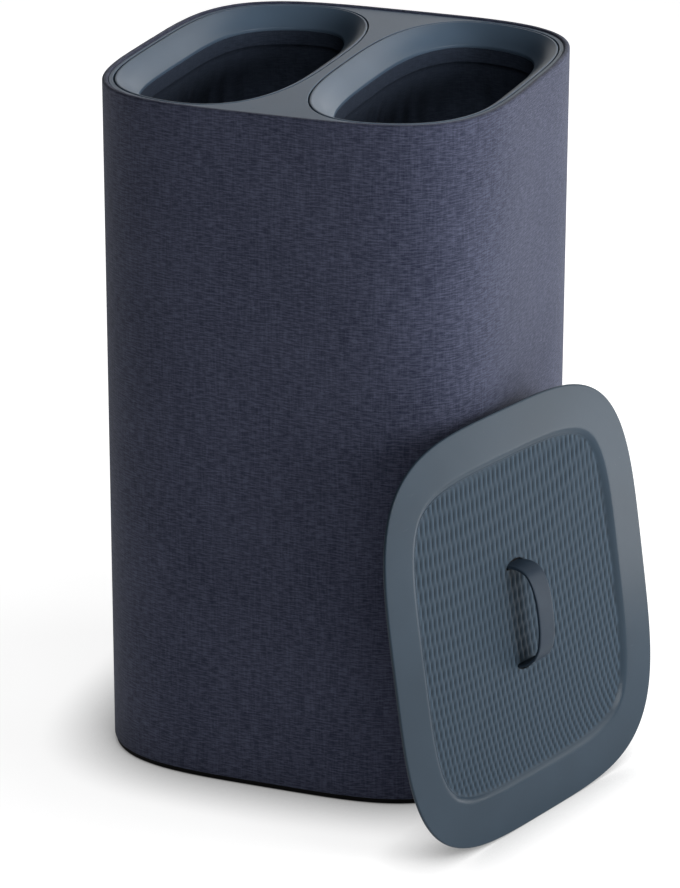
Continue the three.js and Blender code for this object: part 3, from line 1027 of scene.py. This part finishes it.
@dataclass
class TopFrame:
    """The moulded deck with its skirt, and the lip and ledge round each opening."""

    form: Form
    outer: float = 5.5
    deck: float = 2.2
    skirt: float = 1.6
    skirt_height: float = 34.0
    ledge_depth: float = 6.0
    ledge: float = 2.2
    ledge_reach: float = 4.6
    lip: float = 1.6
    margin: float = 0.9
    lip_round: float = 0.9

    def build(self, finishes: Finishes) -> None:
        """Draw the skirt and both lips, then fill the deck between them above and below.

        Args:
            finishes: The hamper's finishes.
        """
        inner = self.outer + self.skirt
        skirt = rounded([
            (self.outer + self.margin, 0, 0), (self.outer, 0, 0.5),
            (self.outer, -self.skirt_height, 0.5), (inner, -self.skirt_height, 0.5),
            (inner, -self.deck, 0.4), (inner + self.margin, -self.deck, 0),
        ], False, 4)
        lip = rounded([
            (-self.margin - 0.4, 0, 0), (0, 0, self.lip_round), (0, -self.ledge_depth, 0.4),
            (self.ledge_reach, -self.ledge_depth, 0.4),
            (self.ledge_reach, -self.ledge_depth - self.ledge, 0.4),
            (-self.lip, -self.ledge_depth - self.ledge, 0.5), (-self.lip, -self.deck, 0.3),
            (-self.lip - self.margin, -self.deck, 0),
        ], False, 5)
        wall = Loft(Outline.bowed_square(self.form))
        parts = [wall.draw("deck", skirt, Section.OPEN, self.form.deck)]
        ends = [len(skirt) - 1]
        for side in Side:
            opening = Loft(Outline.opening(self.form, side))
            parts.append(opening.draw("lip", lip, Section.OPEN, self.form.deck))
            ends.append(len(lip) - 1)
        for part, end in zip(parts, ends):
            ring = numbers(part, "ring")
            edge = np.where(ring == 0, 1, np.where(ring == end, 2, 0))
            store(part, "edge", "INT", edge.astype(np.int32))
        deselect()
        for part in parts:
            part.select_set(True)
        bpy.context.view_layer.objects.active = parts[0]
        bpy.ops.object.join()
        moulding = rename(bpy.context.object, "deck_moulding")
        for level in (1, 2):
            select_spots(moulding, numbers(moulding, "edge") == level)
            bpy.ops.mesh.fill(use_beauty=True)
            bpy.ops.object.mode_set(mode="OBJECT")
        settle(close_up(moulding), finishes.slate, "hamper", "slate_plastic", "top_frame")


# ---------------------------------------------------------------- bins


@dataclass
class Bin:
    """One lift-out bin: ring, hanging liner, hoop and bottom board."""

    form: Form
    side: Side
    ring_gap: float = 1.2
    ring: float = 2.0
    ring_edge: float = 1.8
    band_reach: float = 20.5
    band_depth: float = 16.0
    band_sag: float = 1.6
    spigot: float = 14.0
    ledge_depth: float = 6.0
    gap: float = 0.3
    liner: float = 1.2
    facing: float = 0.8
    facing_play: float = 0.2
    band_lip: float = 2.2
    liner_inset: float = 9.5
    shoulder: float = 46.0
    corner: float = 12.0
    floor_top: float = 5.0
    floor_gap: float = 3.0
    hem: float = 12.5
    hoop: float = 1.8
    hoop_height: float = 9.0
    board: float = 2.4
    belly: float = 1.6
    belly_height: float = 90.0
    belly_spread: float = 70.0
    fall_rings: int = 64
    fall_power: float = 1.25
    corner_rings: int = 6
    floor_rings: int = 4
    slope_steps: int = 14
    under_steps: int = 8
    liner_rays: int = 288
    trim_rays: int = 200
    board_rim: float = 12.0

    def loft(self, count: int = 240) -> Loft:
        """The loft on this bin's opening."""
        return Loft(Outline.opening(self.form, self.side), count)

    @property
    def body(self) -> str:
        """The body that the bin's pieces ride on."""
        return f"{self.side.value}_bin"

    def name(self, piece: str) -> str:
        """A name that begins with the bin's side."""
        return f"{self.side.value}_{piece}"

    @property
    def neck(self) -> float:
        """Height of the spigot's lower edge, from the deck."""
        return -self.band_depth - self.spigot

    @property
    def bottom(self) -> float:
        """Height of the liner's underside, from the deck."""
        return self.floor_top + self.floor_gap - self.form.deck

    def band(self, share: float) -> Pair:
        """A point on the sloping band, from its upper edge at 0 to the spigot at 1.

        Args:
            share: How far down the band.

        Returns:
            Inset and height from the deck.
        """
        start, end = self.ring_gap + self.ring_edge, self.ring_gap + self.band_reach
        sag = self.band_sag * math.sin(math.pi * share)
        return start + (end - start) * share, -self.band_depth * share + sag

    def build_ring(self, finishes: Finishes) -> None:
        """Build the funnel: a rolled edge, the sloping band, the spigot and the leg on the ledge.

        Args:
            finishes: The hamper's finishes.
        """
        end, spigot_end = self.ring_gap + self.band_reach, self.neck
        lip, faced = -self.band_depth - self.band_lip, end - self.facing - self.facing_play
        slope = [(*self.band(k / self.slope_steps), 0) for k in range(2, self.slope_steps - 1)]
        under = [(x - self.ring / 2, z - self.ring, 0) for x, z in
                 (self.band(k / self.under_steps) for k in range(self.under_steps - 1, 0, -1))]
        profile = rounded([
            (self.ring_gap, 0, 0.8),
            (self.ring_gap + self.ring_edge, 0, 0.9),
            *slope,
            (end, -self.band_depth + 0.6, 1.8),
            (end, lip, 0.5),
            (faced, lip, 0.2),
            (faced, spigot_end, 0.3),
            (end - self.ring, spigot_end, 0.3),
            (end - self.ring, -self.band_depth - self.ring / 2, 0.8),
            *under,
            (self.ring_gap + self.ring, -2 * self.ring, 0.5),
            (self.ring_gap + self.ring, self.gap - self.ledge_depth, 0.4),
            (self.ring_gap, self.gap - self.ledge_depth, 0.4),
        ], True)
        ring = self.loft().draw(self.name("ring"), profile, Section.HOOP, self.form.deck)
        settle(close_up(ring), finishes.ring, self.body, "ring_plastic", self.name("bin_ring"))

    def folds(self, arcs: np.ndarray, length: float, height: float) -> np.ndarray:
        """How far the cloth stands in from its plain shape at a height.

        Args:
            arcs: Distance along the outline at each ray.
            length: Full length of the outline.
            height: Height from the deck.

        Returns:
            Extra inset for each ray.
        """
        turn = arcs * FULL_TURN / length
        down = (self.neck - height) / (self.neck - self.bottom)
        # Each wave has a height in mm, a whole number of waves round the bag and a twist going down.
        gathers = 1.5 * np.sin(27 * turn + 2.0 * np.sin(3 * turn)) + 0.8 * np.sin(41 * turn + 1.1)
        drape = 1.3 * np.sin(7 * turn + 5 * down) + 0.9 * np.sin(11 * turn - 4 * down + 0.7)
        crumple = 0.5 * np.sin(17 * turn + 23 * down) + 0.35 * np.sin(29 * turn - 31 * down)
        neck = float(smooth(down, 0, 0.05)) * (0.25 + 0.75 * math.exp(-down * 5))
        foot = 1 - 0.75 * float(smooth(down, 0.9, 0.99))
        return gathers * neck * foot + (drape + crumple) * float(smooth(down, 0.02, 0.25)) * foot

    def build_liner(self, finishes: Finishes) -> None:
        """Build the liner as one shell: it faces the spigot, hangs loose and is round at the foot.

        Args:
            finishes: The hamper's finishes.
        """
        loft = self.loft(self.liner_rays)
        arcs, length = loft.arcs()[:-1], loft.arcs()[-1]
        end = self.ring_gap + self.band_reach
        hem_inner = end - self.ring - self.gap
        hem_outer = hem_inner - self.liner
        outer: list[tuple] = []
        straight_end = self.bottom + self.corner
        for k in range(1, self.fall_rings):
            share = (k / self.fall_rings) ** self.fall_power
            height = self.neck + (straight_end - self.neck) * share
            flare = float(smooth(self.neck - height, 0, self.shoulder))
            off_belly = (height - self.bottom - self.belly_height) / self.belly_spread
            belly = -self.belly * math.exp(-off_belly ** 2)
            inset = hem_outer + (self.liner_inset - hem_outer) * flare + belly * flare
            outer.append((inset + self.folds(arcs, length, height) * flare, height))
        for k in range(self.corner_rings + 1):
            turn = k / self.corner_rings * math.pi / 2
            inset = self.liner_inset + self.corner * (1 - math.cos(turn))
            outer.append((inset, straight_end - self.corner * math.sin(turn)))
        inner = [(inset + self.liner, height + (self.liner if i >= len(outer) - self.floor_rings else 0))
                 for i, (inset, height) in enumerate(outer)]
        face, top = end - self.facing_play / 2, -self.band_depth - self.band_lip - self.facing_play
        collar = rounded([
            (hem_inner, self.neck - 3, 0),
            (face, self.neck - self.facing_play - self.facing, 0.6),
            (face, top, 0.3),
            (face - self.facing, top, 0.3),
            (face - self.facing, self.neck - self.facing_play, 0),
            (hem_inner, self.neck - self.facing_play, 0),
            (hem_inner, self.neck + self.hem, 0.5),
            (hem_outer, self.neck + self.hem, 0.5),
            (hem_outer, self.neck - 1, 0),
        ], False, 3)
        profile = inner[::-1] + collar[1:] + outer
        liner = loft.draw(self.name("liner"), profile, Section.CAPPED, self.form.deck)
        loft.lay_cloth(liner, profile, False)
        settle(close_up(liner), finishes.liner, self.body, "bag_cloth", self.name("bag"),
               self.name("bag_shoulder"))

    def build_hoop(self, finishes: Finishes) -> None:
        """Build the hoop that traps the liner's hem on the spigot.

        Args:
            finishes: The hamper's finishes.
        """
        inner = self.ring_gap + self.band_reach - self.ring - self.liner - 2 * self.gap
        foot = self.neck + (self.hem - self.hoop_height) / 2
        profile = rounded([
            (inner - self.hoop, foot, 0.5), (inner - self.hoop, foot + self.hoop_height, 0.5),
            (inner, foot + self.hoop_height, 0.5), (inner, foot, 0.5),
        ], True, 3)
        hoop = self.loft(self.trim_rays).draw(self.name("hoop"), profile, Section.HOOP, self.form.deck)
        settle(close_up(hoop), finishes.black, self.body, "black_plastic", self.name("bag_hoop"))

    def build_board(self, finishes: Finishes) -> None:
        """Build the bottom board, wrapped in the liner's cloth.

        Args:
            finishes: The hamper's finishes.
        """
        edge = self.liner_inset + self.liner + self.corner
        foot = self.bottom + self.liner + self.gap
        profile = rounded([
            (edge + self.board_rim, foot + self.board, 0), (edge, foot + self.board, 0.9),
            (edge, foot, 0.9), (edge + self.board_rim, foot, 0),
        ], False, 4)
        loft = self.loft(self.trim_rays)
        board = loft.draw(self.name("floor_board"), profile, Section.CAPPED, self.form.deck)
        flat = places(board)[:, :2] * MM
        layer = board.data.uv_layers.new(name="cloth")
        corners = np.zeros(len(board.data.loops), np.int32)
        board.data.loops.foreach_get("vertex_index", corners)
        layer.data.foreach_set("uv", flat[corners].ravel())
        settle(close_up(board), finishes.liner, self.body, "bag_cloth", self.name("bag_board"))

    def build(self, finishes: Finishes) -> None:
        """Build all pieces of the bin.

        Args:
            finishes: The hamper's finishes.
        """
        self.build_ring(finishes)
        self.build_liner(finishes)
        self.build_hoop(finishes)
        self.build_board(finishes)


# ---------------------------------------------------------------- lid


@dataclass
class Relief:
    """A braid of two crossing waves: leaning columns of slits, in rows that close up to the low edge."""

    column: float = 6.47
    lean: float = 0.2026
    depth: float = 0.75
    strong: float = 0.61
    drift: float = -0.09
    bow: float = -0.00065
    row_places: tuple[float, ...] = (-150, -135, -100, 0, 65, 140)
    row_pitches: tuple[float, ...] = (4.3, 5.2, 8.0, 11.2, 13.6, 16.0)
    table_reach: float = 190.0
    table_steps: int = 1521

    def height(self, up: np.ndarray, right: np.ndarray) -> np.ndarray:
        """Height of the relief.

        Args:
            up: Place along the lid's upward axis.
            right: Place along its level axis.

        Returns:
            Height above the tray floor's mean.
        """
        level = up + right * self.drift + right ** 2 * self.bow
        table = np.linspace(-self.table_reach, self.table_reach, self.table_steps)
        pitch = np.interp(table, self.row_places, self.row_pitches)
        phase = np.cumsum(math.pi / pitch) * (table[1] - table[0])
        row = np.interp(level, table, phase)
        column = (right - up * self.lean) * FULL_TURN / self.column
        braid = self.strong * np.cos(column + row) + (1 - self.strong) * np.cos(column - row)
        return self.depth * braid


@dataclass
class Lid:
    """The dished lid panel with its relief, ribs and slots, and its strap handle."""

    form: Form
    spot: tuple[float, float, float] = (216.934, -126.890, 177.972)
    yaw: float = 72.8
    lean: float = 9.1
    rim: float = 36.0
    edge: float = 3.0
    tray_depth: float = 3.5
    tray_run: float = 8.0
    tray_floor: float = 2.2
    bearing_inset: float = 5.8
    bearing_rib: float = 2.2
    bearing_height: float = 4.0
    locating_inset: float = 30.5
    locating_rib: float = 2.2
    locating_depth: float = 21.0
    locating_half_gap: float = 96.0
    half_span: float = 44.6
    rise: float = 26.0
    band: float = 2.4
    band_width: float = 21.0
    band_corner: float = 0.9
    end_width: float = 23.0
    head: float = 2.6
    head_length: float = 9.0
    slot_width: float = 26.0
    slot_length: float = 6.5
    slot_play: float = 1.0
    slot_steps: int = 41
    slot_reach: float = 40.0
    far: float = 1000.0
    overrun: float = 3.0
    clip: float = 2.0
    gap: float = 0.3
    relief_fade: float = 2.4
    relief_gap: float = 1.2
    relief_full: float = 4.5
    slot_lip: float = 0.5
    lip_rise: Pair = (0.2, 1.2)
    lip_fall: Pair = (1.6, 3.6)
    texture_edge: Pair = (-0.5, 1.5)
    wall_rings: int = 9
    band_stations: int = 97
    band_sides: int = 40
    flare_power: int = 3
    across_cells: int = 276
    up_cells: int = 184
    smooth_angle: float = 50.0
    relief: Relief = field(default_factory=Relief)
    arch_shares: tuple[Pair, ...] = (
        (-1, 0), (-0.96, 0.25), (-0.83, 0.62), (-0.62, 0.85), (-0.3, 0.97), (0, 1), (0.35, 0.98),
        (0.66, 0.88), (0.87, 0.7), (0.975, 0.38), (1, 0),
    )

    def stand(self, piece: bpy.types.Object) -> bpy.types.Object:
        """Move a piece that lies flat about the origin to the leaning lid, in its mesh.

        Args:
            piece: The piece, with +X up the lid and +Z out of its face.

        Returns:
            The same piece.
        """
        yaw, lean = math.radians(self.yaw), math.radians(self.lean)
        away = Vector((math.sin(yaw), -math.cos(yaw), 0))
        face = away * math.cos(lean) + Vector((0, 0, math.sin(lean)))
        up = away * -math.sin(lean) + Vector((0, 0, math.cos(lean)))
        turn = Matrix((up, face.cross(up), face)).transposed().to_4x4()
        piece.data.transform(Matrix.Translation(Vector(self.spot) * MM) @ turn)
        return piece

    def slot_curve(self, side: int) -> np.ndarray:
        """Outline of a strap slot: straight beside the band and bowed outwards past it.

        Args:
            side: -1 for the low slot and 1 for the high one.

        Returns:
            Places along the curve.
        """
        turn = np.linspace(-math.pi / 2, math.pi / 2, self.slot_steps)
        inner = self.half_span - self.band / 2 - self.slot_play
        return np.stack([side * (inner + self.slot_length * np.cos(turn)),
                         self.slot_width / 2 * np.sin(turn)], 1)

    def from_slots(self, spots: np.ndarray) -> np.ndarray:
        """Distance from each place to the nearest slot's edge, outside the slots.

        Args:
            spots: The places.

        Returns:
            One distance for each place, which is the far one where no slot is within reach.
        """
        nearest = np.full(len(spots), self.far)
        for side in (-1, 1):
            curve = self.slot_curve(side)
            closed = np.concatenate([curve, np.linspace(curve[-1], curve[0], 30)])
            close = np.abs(spots[:, 0] - side * self.half_span) < self.slot_reach
            gaps = np.linalg.norm(spots[close, None, :2] - closed[None], axis=2)
            nearest[close] = np.minimum(nearest[close], gaps.min(1))
        return nearest

    def build_panel(self, finishes: Finishes) -> None:
        """Build the panel: a fine grid for the tray, drawn out over wall, rim, edge and ribs.

        Args:
            finishes: The hamper's finishes.
        """
        outline = Outline.bowed_square(self.form)
        deselect()
        bpy.ops.mesh.primitive_grid_add(x_subdivisions=self.up_cells,
                                        y_subdivisions=self.across_cells, size=2)
        panel = rename(bpy.context.object, "lid_moulding")
        square = places(panel)[:, :2] * MM
        reach = np.abs(square).max(1)
        rays = np.arctan2(square[:, 1], square[:, 0])
        tray = self.rim + self.tray_run
        level = outline.ring(tray, rays) * reach[:, None]
        from_edge = (1 - reach) * (self.form.half - tray)
        from_slot = self.from_slots(level)
        bumps = self.relief.height(level[:, 0], -level[:, 1])
        # The relief's height from 0 to 1, kept for the lid material's painted shade in hollows and
        # painted highlight on crests.
        store(panel, "relief_shade_height", "FLOAT", 0.5 + bumps / self.relief.depth / 2)
        bumps = bumps * smooth(from_edge, 0, self.relief_fade)
        bumps = bumps * smooth(from_slot, self.relief_gap, self.relief_full)
        rise, fall = smooth(from_slot, *self.lip_rise), smooth(from_slot, *self.lip_fall)
        lips = self.slot_lip * rise * (1 - fall)
        place(panel, np.column_stack([level, bumps + lips - self.tray_depth]))

        border = np.flatnonzero(reach > 1 - 1e-6)
        order = border[np.argsort(rays[border])]
        spot = np.full(len(level), -1, np.int32)
        spot[order] = np.arange(len(order))
        store(panel, "spot", "INT", spot)
        border_rays = rays[order]
        profile = self.panel_profile(outline.ring(0, border_rays)[:, 0])
        draw_out(panel, spot >= 0, len(profile))
        spot = numbers(panel, "spot")
        spots = places(panel)
        fresh = np.arange(len(spot)) >= len(level)
        ring = (np.arange(len(spot)) - len(level)) // len(order)
        rings = [np.column_stack([outline.ring(inset, border_rays), np.broadcast_to(height, len(order))])
                 for inset, height in profile]
        spots[fresh] = np.stack(rings)[ring[fresh], spot[fresh]]
        place(panel, spots)
        cap(panel, fresh & (ring == len(profile) - 1))
        close_up(panel)
        for side in (-1, 1):
            self.cut_slot(panel, side)
        spots = places(panel)
        foot = np.linalg.norm(outline.ring(tray, np.arctan2(spots[:, 1], spots[:, 0])), axis=1)
        past = np.linalg.norm(spots[:, :2], axis=1) - foot
        store(panel, "textured", "FLOAT", 1 - smooth(past, *self.texture_edge))
        take_up(panel)
        bpy.ops.object.shade_smooth_by_angle(angle=math.radians(self.smooth_angle))
        self.stand(panel)
        settle(panel, finishes.lid, "lid", "slate_plastic", "lid_panel")

    def panel_profile(self, up: np.ndarray) -> list[tuple]:
        """Inset and height of the rings from the tray's wall round to the underside.

        Args:
            up: Place of each ray's rim point along the lid's upward axis.

        Returns:
            The profile, where the locating rib's depth changes round the lid.
        """
        floor = -self.tray_depth - self.tray_floor
        steps = self.wall_rings
        wall = [(self.rim + self.tray_run * (1 - k / steps),
                 -self.tray_depth * (1 - math.sin(math.pi * k / (2 * steps))))
                for k in range(1, steps + 1)]
        outside = rounded([
            (self.rim - 2, 0, 0), (0, 0, 1.1), (0, -self.edge, 1.0),
            (self.bearing_inset, -self.edge, 0),
            (self.bearing_inset, -self.edge - self.bearing_height, 0.5),
            (self.bearing_inset + self.bearing_rib, -self.edge - self.bearing_height, 0.5),
            (self.bearing_inset + self.bearing_rib, -self.edge, 0),
            (self.locating_inset, -self.edge, 0),
        ], False, 3)
        share = smooth(np.abs(up), self.locating_half_gap - 1, self.locating_half_gap + 3)
        drop = self.locating_depth * share
        outer, inner = self.locating_inset, self.locating_inset + self.locating_rib
        rib = [(outer, -self.edge - drop), (outer + 0.5, -self.edge - drop),
               (inner - 0.5, -self.edge - drop), (inner, -self.edge - drop), (inner, -self.edge)]
        under = [(self.rim + 1, -self.edge - 0.3), (self.rim + self.tray_run - 1, floor),
                 (self.rim + self.tray_run + 4, floor)]
        return [*wall, *outside, *rib, *under]

    def cut_slot(self, panel: bpy.types.Object, side: int) -> None:
        """Cut one strap slot through the tray floor.

        Args:
            panel: The lid panel, lying flat.
            side: -1 for the low slot and 1 for the high one.
        """
        curve = self.slot_curve(side)
        deselect()
        bpy.ops.mesh.primitive_circle_add(vertices=len(curve), radius=MM)
        tool = bpy.context.object
        draw_out(tool, np.ones(len(curve)), 1)
        low = -self.tray_depth - self.tray_floor - self.overrun
        heights = np.repeat([low, self.overrun], len(curve))
        place(tool, np.column_stack([np.tile(curve, (2, 1)), heights]))
        for end in (0, 1):
            cap(tool, np.arange(2 * len(curve)) // len(curve) == end)
        close_up(tool)
        take_up(panel)
        cut = panel.modifiers.new("slot", "BOOLEAN")
        cut.operation, cut.solver, cut.object = "DIFFERENCE", "EXACT", tool
        bpy.ops.object.modifier_apply(modifier=cut.name)
        bpy.data.objects.remove(tool)

    def band_path(self) -> list[tuple[float, float, float, float]]:
        """Stations of the strap: place along, height, half thickness and half width.

        Returns:
            The stations, from the foot of the low end to that of the high end.
        """
        knots = np.array(self.arch_shares) * (self.half_span, self.rise)
        knots[:, 1] -= self.tray_depth
        run = np.concatenate([[0], np.cumsum(np.sqrt(np.linalg.norm(np.diff(knots, axis=0), axis=1)))])
        ends = np.concatenate([[2 * knots[0] - knots[1]], knots, [2 * knots[-1] - knots[-2]]])
        ticks = np.concatenate([[2 * run[0] - run[1]], run, [2 * run[-1] - run[-2]]])
        line = []
        for value in np.linspace(run[0], run[-1], self.band_stations):
            k = int(np.clip(np.searchsorted(run, value, "right") - 1, 0, len(run) - 2))
            line.append(self.through(ends[k:k + 4], ticks[k:k + 4], value))
        clip_top = -self.tray_depth - self.tray_floor - self.gap
        foot = clip_top - self.clip - self.gap - self.head
        thin, wide = self.band / 2, self.end_width / 2
        thick = self.head_length / 2

        def end(side: int) -> list[tuple[float, float, float, float]]:
            """The head and leg below one slot, from the foot up.

            Args:
                side: -1 for the low slot and 1 for the high one.

            Returns:
                The stations.
            """
            x = side * self.half_span
            return [(x, foot, thick - 0.6, wide - 0.6), (x, foot + 0.4, thick, wide),
                    (x, foot + self.head - 0.4, thick, wide), (x, foot + self.head, thick - 0.5, wide),
                    (x, foot + self.head + 0.02, thin, wide), (x, -self.tray_depth - 1, thin, wide)]

        middle = []
        for x, z in line[1:-1]:
            flare = min(1.0, abs(x) / self.half_span) ** self.flare_power
            width = self.band_width + (self.end_width - self.band_width) * flare
            middle.append((x, z, thin, width / 2))
        return [*end(-1), *middle, *end(1)[::-1]]

    @staticmethod
    def through(knots: np.ndarray, ticks: np.ndarray, value: float) -> np.ndarray:
        """A point of the smooth curve through four knots, between the middle two.

        Args:
            knots: Four places.
            ticks: The curve's parameter at each.
            value: The parameter wanted.

        Returns:
            The place on the curve.
        """
        mix = lambda a, b, s, t: a * (t - value) / (t - s) + b * (value - s) / (t - s)
        first = [mix(knots[i], knots[i + 1], ticks[i], ticks[i + 1]) for i in range(3)]
        second = [mix(first[i], first[i + 1], ticks[i], ticks[i + 2]) for i in range(2)]
        return mix(second[0], second[1], ticks[1], ticks[2])

    def build_strap(self, finishes: Finishes) -> None:
        """Build the band with soft edges along its hanging arch, and a wide head under each slot.

        Args:
            finishes: The hamper's finishes.
        """
        path = np.array(self.band_path())
        along = np.gradient(path[:, :2], axis=0)
        legs = np.abs(path[:, 1] - path[:, 1].max()) > self.rise
        along[legs] = np.where(path[legs, :1] < 0, 1, -1) * np.array([[0.0, 1.0]])
        along /= np.linalg.norm(along, axis=1)[:, None]
        normal = np.stack([-along[:, 1], along[:, 0]], 1)
        turn = (np.arange(self.band_sides) + 0.5) * FULL_TURN / self.band_sides
        # The section is flat where the sine of its turn is past this, and round beyond.
        corner_sine, corner_cosine = 0.625, 0.781
        deselect()
        bpy.ops.mesh.primitive_circle_add(vertices=len(turn), radius=MM)
        strap = rename(bpy.context.object, "strap_band")
        draw_out(strap, np.ones(len(turn)), len(path) - 1)
        rings = []
        for (x, z, thin, wide), (nx, nz) in zip(path, normal):
            soft = thin * self.band_corner
            side = np.sign(np.cos(turn)) * (wide - soft) + soft * np.cos(turn)
            face = np.clip(np.sin(turn) / corner_sine, -1, 1) * thin
            flat = (wide - soft) * np.cos(turn) / corner_cosine
            side = np.where(np.abs(np.sin(turn)) > corner_sine, flat, side)
            rings.append(np.stack([x + nx * face, side, z + nz * face], 1))
        place(strap, np.concatenate(rings))
        for end in (0, len(path) - 1):
            cap(strap, np.arange(len(strap.data.vertices)) // len(turn) == end)
        close_up(strap)
        self.stand(strap)
        settle(strap, finishes.strap, "lid", "strap_rubber", "lid_strap")

    def build(self, finishes: Finishes) -> None:
        """Build the panel and the strap, and dress the clips that are carried over.

        Args:
            finishes: The hamper's finishes.
        """
        self.build_panel(finishes)
        self.build_strap(finishes)
        for name in ("lid_strap_clip_low", "lid_strap_clip_high"):
            dress(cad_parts[name], finishes.black)


# ---------------------------------------------------------------- studio


@dataclass(frozen=True)
class Softbox:
    """A square area light that shines at the hamper, with its lengths in metres.

    Its azimuth counts from +X towards +Y, in degrees.
    """

    azimuth: float
    elevation: float
    power: float
    distance: float = 2.2
    size: float = 1.0
    aim_height: float = 0.35

    def place(self) -> None:
        """Add the light to the scene."""
        data = bpy.data.lights.new("softbox", "AREA")
        data.size, data.energy = self.size, self.power
        lamp = bpy.data.objects.new("softbox", data)
        bpy.context.scene.collection.objects.link(lamp)
        turn, rise = math.radians(self.azimuth), math.radians(self.elevation)
        away = Vector((math.cos(turn) * math.cos(rise), math.sin(turn) * math.cos(rise), math.sin(rise)))
        lamp.location = Vector((0, 0, self.aim_height)) + away * self.distance
        lamp.rotation_euler = (-away).to_track_quat("-Z", "Y").to_euler()
        lamp.visible_camera = False


@dataclass
class Studio:
    """Camera, lights and floor, with their lengths in metres."""

    camera_spot: tuple[float, float, float] = (1.1804, -3.1212, 1.5300)
    camera_target: tuple[float, float, float] = (0.0013, 0.0, 0.2577)
    roll: float = 0.0018
    focal: float = 162.93
    sensor: float = 36.0
    sight: float = 150.0
    floor_size: float = 120.0
    floor_albedo: float = 0.4
    mottle: float = 0.01
    # The floor's glow is lower near the hamper as painted shade round it.
    near_glow: float = 0.84
    around_glow: float = 0.93
    back_glow: float = 0.95
    front_glow: float = 0.5
    near_edge: Pair = (0.3, 0.62)
    back_edge: Pair = (0.4, 1.2)
    front_edge: Pair = (-1.25, -0.65)
    contact_shadow_reach: float = 0.07
    contact_shadow_power: float = 1.5
    lights: tuple[Softbox, ...] = (
        Softbox(22, 17, 17), Softbox(-12, 17, 45), Softbox(-40, 45, 4), Softbox(-65, 40, 9),
        Softbox(80, 17, 8.5), Softbox(80, 45, 6), Softbox(110, 17, 4),
        Softbox(28, -11, 1.6, distance=0.97, size=0.3, aim_height=0.3),
    )

    def place_camera(self) -> None:
        """Add the camera at the photographed angle."""
        data = bpy.data.cameras.new("camera")
        data.lens, data.sensor_width, data.clip_end = self.focal, self.sensor, self.sight
        camera = bpy.data.objects.new("camera", data)
        bpy.context.scene.collection.objects.link(camera)
        aim = (Vector(self.camera_target) - Vector(self.camera_spot)).to_track_quat("-Z", "Y")
        camera.location = self.camera_spot
        camera.rotation_euler = (aim.to_matrix() @ Matrix.Rotation(self.roll, 3, "Z")).to_euler()
        bpy.context.scene.camera = camera

    def place_floor(self) -> None:
        """Add a wide pale floor that glows a little, brightest behind the hamper and least before it,
        with painted shade: a dimmer glow near the hamper and an ambient-occlusion contact shadow.
        """
        deselect()
        bpy.ops.mesh.primitive_plane_add(size=self.floor_size)
        floor = rename(bpy.context.object, "floor")
        shader = Shader("floor_paper")
        spot = shader.object_place()
        grey = lambda level: (level, level, level)
        dark, pale = grey(self.floor_albedo - self.mottle), grey(self.floor_albedo + self.mottle)
        colour = shader.blend(shader.noise(spot, 1.5, 2), dark, pale)
        away = shader.node("VectorMath", {"operation": "LENGTH"}, {0: spot}, "Value")
        depth = shader.axis(spot, "Y")
        glow = shader.blend(away.eased(*self.near_edge), grey(self.near_glow), grey(self.around_glow))
        glow = shader.blend(depth.eased(*self.back_edge), glow, grey(self.back_glow))
        glow = shader.blend(depth.eased(*self.front_edge), grey(self.front_glow), glow)
        # Painted contact shadow: ambient occlusion darkens the floor's glow next to the pieces.
        contact_shadow_ao = shader.node("AmbientOcclusion", {"samples": 8}, {"Distance": self.contact_shadow_reach}, "AO")
        glow = shader.blend(contact_shadow_ao ** self.contact_shadow_power, grey(0.0), glow)
        shader.tree.links.new(glow.socket, shader.surface.inputs["Emission Color"])
        shader.surface.inputs["Emission Strength"].default_value = 1.0
        floor.data.materials.append(shader.finish(colour, 0.9, None, 0.1))

    def build(self) -> None:
        """Build the studio."""
        self.place_camera()
        self.place_floor()
        for light in self.lights:
            light.place()
        world = bpy.data.worlds.new("studio")
        world.use_nodes = True
        world.node_tree.nodes["Background"].inputs["Color"].default_value = (0, 0, 0, 1)
        bpy.context.scene.world = world
        bpy.context.scene.view_settings.view_transform = "Standard"


def main() -> None:
    """Build every sub-assembly in order and report it."""
    logging.basicConfig(level=logging.INFO, format="%(name)s %(message)s")
    form = Form()
    Studio().build()
    finishes = Finishes.make(form)
    Base(form).build(finishes)
    wall = Wall(form)
    wall.build_board(finishes)
    wall.build_cover(finishes)
    TopFrame(form).build(finishes)
    for side in Side:
        Bin(form, side).build(finishes)
    Lid(form).build(finishes)
    deselect()


if __name__ == "__main__":
    main()
